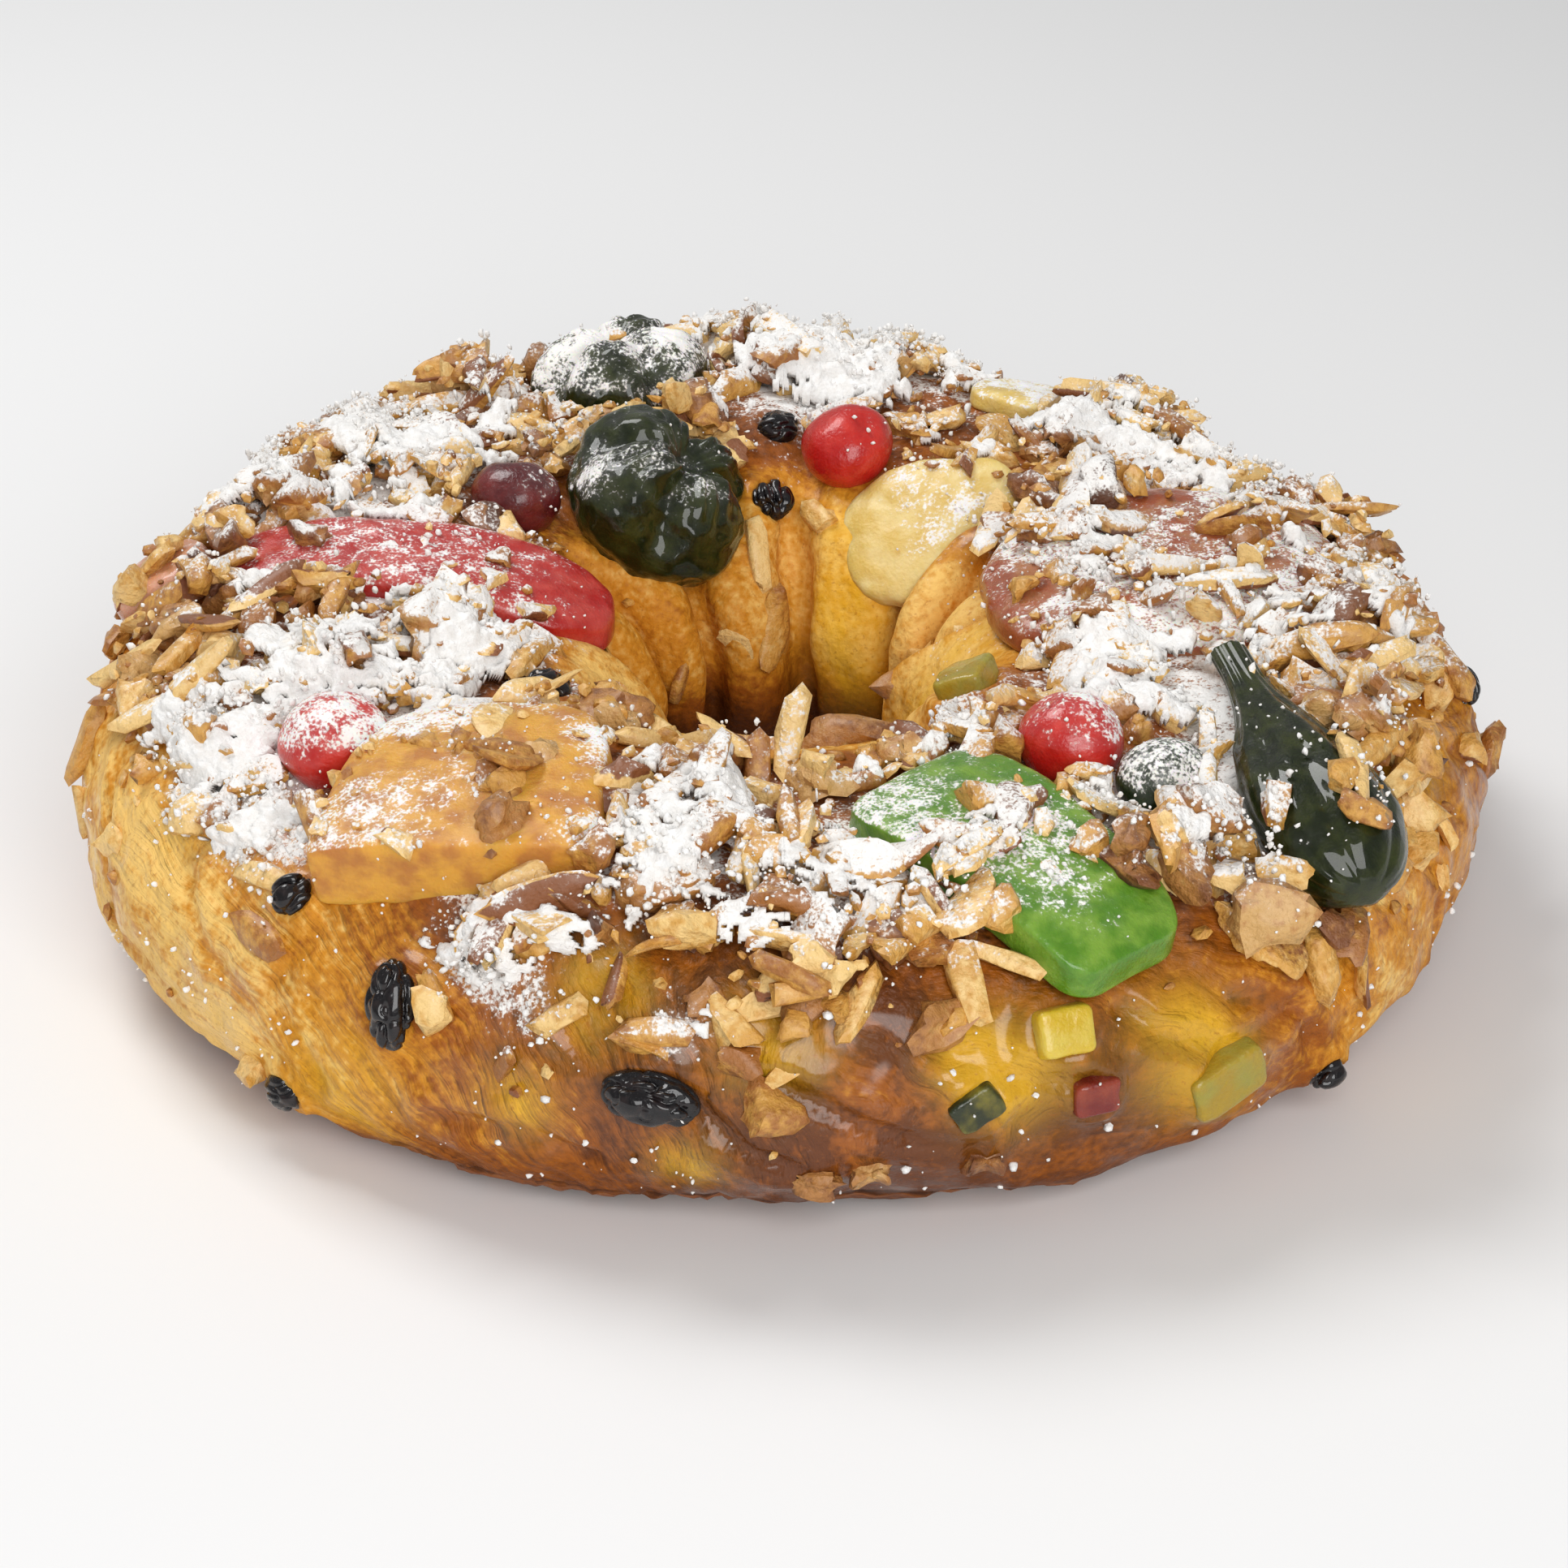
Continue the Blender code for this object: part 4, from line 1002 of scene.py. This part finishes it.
# Pieces that stand out: on the front under the crown, on the left side and on the long fig.
almond_sticks.set_by_hand((
    ("raisin_front", 1, 14, 11.5, 5, 4, 5, 0, 0), ("raisin_front", 32, 21, 15, 5, 3.5, 62, 0, 0.5),
    ("raisin_front", 50, 24, 15, 5, 3, 95, 0, 1), ("raisin_front", -16, 14, 10, 4, 3, 40, 0, 0),
    ("walnut_front", 12, 26, 15, 4.5, 4, 100, -60, 0), ("walnut_front", 20, 27, 14, 4.5, 4, 75, -60, 0),
    ("walnut_front", 5, 16, 13, 4, 3.5, 85, -10, 2), ("walnut_front", 19, 9, 13, 4, 3, 95, -10, 2),
    ("raisin_front_left", 7, 4, 10, 3.5, 2.5, -55, 0, 0), ("raisin_front_left", -32, 15, 16, 4.5, 3, 8, 0, 0),
    ("raisin_front_left", 14, 21, 9, 3.5, 2.5, -60, 0, 1), ("walnut_left", 8, -10, 15, 4, 2.5, 85, 0, 0),
    ("walnut_left", 25, -8, 12, 4.5, 3, 80, 0, 0), ("walnut_left", 16, 2, 14, 4, 3, 130, 0, 1),
    ("fig_stalked", -7, -1, 15, 4, 3, 50, 0, 0), ("fig_stalked", -22, 8, 17, 4, 3.5, 45, 0, 0),
    ("fig_stalked", -18, 0, 9, 4, 3.5, 45, 0, 0), ("cherry_green", 4, -9, 16, 4, 3.5, 45, 0, -8),
    ("raisin_hole", 4, 14, 14, 4.5, 4, 85, 0, 0),
))
almond_flakes.set_by_hand((
    ("raisin_front", 16, 20, 11, 4.5, 2, 20, 0, 0), ("raisin_front", 20, 6, 9, 3, 1.2, 35, 0, -0.4),
    ("walnut_left", 6, -32, 14, 7, 4.5, 100, 0, 0), ("raisin_front_left", -28, 3, 12, 5.5, 3, -5, 0, 0),
    ("raisin_hole", 1, 33, 15, 6.5, 4, 75, 0, 0),
))
almond_chunks.set_by_hand((
    ("raisin_front", 12, 16, 13, 6.5, 5, -58, 0, 0.5), ("raisin_front", 0, 10.5, 13, 5.5, 4.5, 0, 0, 0),
    ("raisin_front", 13, 9, 8, 5, 4, -15, 0, 0), ("raisin_front", 22, 17, 7.5, 5, 4, 10, 0, 0),
    ("raisin_front", 47, 16, 5, 4.5, 4, 0, 0, 0), ("raisin_front_left", 9, 3, 7, 6, 4, 20, 0, 0),
    ("fig_stalked", -12, -6, 10, 6, 5, -30, 0, 0), ("fig_stalked", -11, -1, 6, 5, 4, 20, 0, 1),
    ("fig_stalked", -19, 5, 5, 5, 4, 0, 0, 0), ("fig_stalked", 20, -8, 10, 9, 7, 10, 0, 0),
    ("fig_stalked", 16, -20, 10, 8, 6, 80, 0, 0), ("fig_stalked", 12, -28, 7, 6, 5, 30, 0, 0),
    ("cherry_left", -16, -14, 8, 7, 6, 30, 0, 0), ("raisin_base_left", -8, 2, 6, 5, 5, 0, 0, 0),
    ("slice_green", -8, -12, 8, 7, 6, 20, 0, 0), ("cherry_green", 2, -7, 10, 8, 7, 30, 0, -10),
    ("cherry_green", 3, 0, 8, 7, 6, 70, 0, -6), ("cherry_green", 1, -15, 9, 7, 7, -20, 0, -10),
    ("cherry_green", 5, -4, 8, 6, 6, 0, 0, -8), ("slice_green", 4, 2, 6, 5, 4, 50, 0, 0),
    ("slice_green", 9, -3, 8, 6, 4, 10, 0, 0), ("slice_green", 2, -6, 7, 6, 4, 80, 0, 0),
))
walnut_bits.set_by_hand((
    ("raisin_front", 44, 17, 9, 8, 6, 0, 0, 0), ("raisin_front", 25, -19, 13, 8, 6, 0, 0, 0),
    ("raisin_front", 34, -18, 8, 6, 5, 30, 0, 0), ("raisin_front", 52, -17, 8, 7, 5, 10, 0, 0),
    ("slice_green", 14, -4, 10, 6, 5, 30, 0, 0),
))
for heap in (almond_chunks, almond_sticks, almond_flakes, walnut_bits, nut_crumbs):
    heap.finish(48)


# ---------------------------------------------------------------------------------------------
# Icing sugar, sieved on when the ring is cool. It sticks to the syrup in crumbly heaps between the
# nuts, breaks up into grains at their edges, and is a fine dust on everything near.

sugar = Finish("sugar")
shade = sugar.step(sugar.noise(1.6 * MM, 3), 0.35, 0.65)
colour = sugar.blend(shade, (0.86, 0.84, 0.81), (0.93, 0.92, 0.905))
sugar.done(colour, 0.95, sugar.noise(0.7 * MM, 3) * (0.4 * MM), dust=False)

HEAP_AROUND, HEAP_ROLL = 1500, 300
around, roll = np.meshgrid(
    np.linspace(0, 2 * np.pi, HEAP_AROUND, endpoint=False),
    np.radians(np.linspace(20, 150, HEAP_ROLL)), indexing="ij",
)


def read(heights, around, roll):
    """Heights between the cells of the grid, by straight lines."""
    x, y = around / (2 * np.pi) * GRID_AROUND - 0.5, roll / (2 * np.pi) * GRID_ROLL - 0.5
    i, j = np.floor(x).astype(int), np.floor(y).astype(int)
    u, v = x - i, y - j
    at = lambda a, b: heights[a % GRID_AROUND, b % GRID_ROLL]
    return ((1 - u) * (1 - v) * at(i, j) + u * (1 - v) * at(i + 1, j)
            + (1 - u) * v * at(i, j + 1) + u * v * at(i + 1, j + 1))


bed = read(softened(pile, 3.4, 2.8), around, roll)
spots = lifted(around, roll, bed)
slope = axes_at(around, roll)[..., 2]
amount = sugar_on(spots, slope)
# Crumbs are the size of a noise: round bumps that meet in sharp clefts.
crumbs = sum(np.abs(rough(spots, size * MM, 121 + n)) * size for n, size in enumerate((3.0, 1.7, 1.0)))
lumps = crumpled(spots, 9 * MM, 124, 2)
shed = read(softened(fruit_cover, 3, 2), around, roll)
thick = MM * (3.4 * (amount - 1.17) + 0.55 * (crumbs - 1.9) + 1.5 * lumps - 2.6 * shed)
top = lifted(around, roll, bed + np.minimum(thick, 1.9 * MM))
under = lifted(around, roll, bed + np.minimum(thick, 0) - 1.6 * MM)
shown = thick > -0.7 * MM
cell_on = shown & np.roll(shown, -1, 0)
cell_on = cell_on[:, :-1] & cell_on[:, 1:]


def quilt(mask, columns, count):
    """Faces of a closed sheet over the chosen cells: its top, its underside, and walls at its edges."""
    i, j = np.nonzero(mask)
    rows = mask.shape[0]
    ahead = (i + 1) % rows
    a, b, c, d = i * columns + j, ahead * columns + j, ahead * columns + j + 1, i * columns + j + 1
    upper = np.stack([a, b, c, d], axis=-1)
    lower = upper[:, ::-1] + count
    edges = np.concatenate([np.stack(pair, -1) for pair in ((a, b), (b, c), (c, d), (d, a))])
    key, back = edges[:, 0] * count + edges[:, 1], edges[:, 1] * count + edges[:, 0]
    rim = edges[~np.isin(key, back)]
    walls = np.stack([rim[:, 1], rim[:, 0], rim[:, 0] + count, rim[:, 1] + count], axis=-1)
    return np.concatenate([upper, lower, walls])


def used_only(points, faces):
    """The points that faces use, and the faces renumbered to them."""
    kept, faces_new = np.unique(faces, return_inverse=True)
    return points[kept], faces_new.reshape(faces.shape)


both = np.concatenate([top.reshape(-1, 3), under.reshape(-1, 3)])
count = HEAP_AROUND * HEAP_ROLL
for number in range(4):
    part = np.zeros_like(cell_on)
    width = HEAP_AROUND // 4
    part[number * width:(number + 1) * width] = cell_on[number * width:(number + 1) * width]
    points, faces = used_only(both, quilt(part, HEAP_ROLL, count))
    make_piece(
        f"sugar_heap_{number + 1}", None, points, faces, sugar.made,
        {"dust": np.zeros(len(points))},
    )

# Loose crumbs of sugar, which rolled off the heaps and stick where they stopped.
grain_forms, grain_faces = nut_forms(12, 1, 1, 0, 0.5, shape_rng, 6, 4, 0, 0.2)


def sugar_places(count, rng):
    """Places drawn evenly by area and kept as often as there is sugar, with a few on the bare sides."""
    around, roll = rng.uniform(0, 2 * np.pi, 60 * count), rng.uniform(-0.5, 3.3, 60 * count)
    spots = dough_skin(around, roll)
    share = sugar_on(spots, axes_at(around, roll)[..., 2]) ** 2 + 0.06 * eased(-np.degrees(roll), -60, 20)
    share *= np.hypot(spots[:, 0], spots[:, 1]) / OUTER_REACH.max() * eased(rough(spots, 9 * MM, 141), -0.5, 0.6)
    share *= 1 - 0.75 * fruit_cover[cells(around, roll)]
    kept = rng.uniform(size=len(around)) < 0.5 * share
    return around[kept][:count], roll[kept][:count]


class Grains(Heap):
    """Grains of sugar, which lie where the sugar does."""

    def scatter(self, count, longest):
        around, roll = sugar_places(count, self.rng)
        self.bed = pile
        sizes = self.rng.uniform(*longest, len(around))[:, None] * MM * self.rng.uniform(0.7, 1.2, (len(around), 3))
        self.lay(around, roll, sizes, self.rng.uniform(0, 360, len(around)), 0, 0, 0.2)


for number, (count, longest) in enumerate(((5200, (0.25, 0.65)), (1500, (0.65, 1.4)))):
    sugar_grains = Grains(f"sugar_grains_{number + 1}", "icing_sugar", sugar.made, grain_forms, grain_faces, 106 + number)
    sugar_grains.scatter(count, longest)
    sugar_grains.finish()


# ---------------------------------------------------------------------------------------------
# The table, the light and the camera. The table is plain and pale, under a broad soft light.

table_mesh = bpy.data.meshes.new("table")
table_mesh.from_pydata([(-4, -4, 0), (4, -4, 0), (4, 4, 0), (-4, 4, 0)], [], [(0, 1, 2, 3)])
table = bpy.data.objects.new("table", table_mesh)
bpy.context.scene.collection.objects.link(table)
table_finish = Finish("table_white", {"Specular IOR Level": 0.2})
table_finish.done((0.86, 0.86, 0.86, 1), 0.7, 0.0, dust=False)
table_mesh.materials.append(table_finish.made)


def lamp(name, place, aim, width, power, colour=(1, 1, 1)):
    """A square soft light that faces a point."""
    data = bpy.data.lights.new(name, "AREA")
    data.size, data.energy, data.color = width, power, colour
    made = bpy.data.objects.new(name, data)
    made.location = place
    made.rotation_euler = (Vector(aim) - Vector(place)).to_track_quat("-Z", "Y").to_euler()
    bpy.context.scene.collection.objects.link(made)


lamp("key", (-0.45, 0.35, 0.95), (0, 0, 0.03), 0.5, 6.6)
lamp("fill", (0.2, -0.95, 0.6), (0, 0, 0.03), 0.7, 8.5)
world = bpy.data.worlds.new("studio")
world.use_nodes = True
world.node_tree.nodes["Background"].inputs["Color"].default_value = (1, 1, 1, 1)
world.node_tree.nodes["Background"].inputs["Strength"].default_value = 0.3
bpy.context.scene.world = world
bpy.context.scene.view_settings.view_transform = "Standard"

lens = bpy.data.cameras.new("lens")
lens.lens, lens.sensor_width = 88.5, 36
camera = bpy.data.objects.new("camera", lens)
camera.location = (0, -0.6101, 0.3611)
camera.rotation_euler = (Vector((0, 0, 0.018)) - camera.location).to_track_quat("-Z", "Y").to_euler()
bpy.context.scene.collection.objects.link(camera)
bpy.context.scene.camera = camera
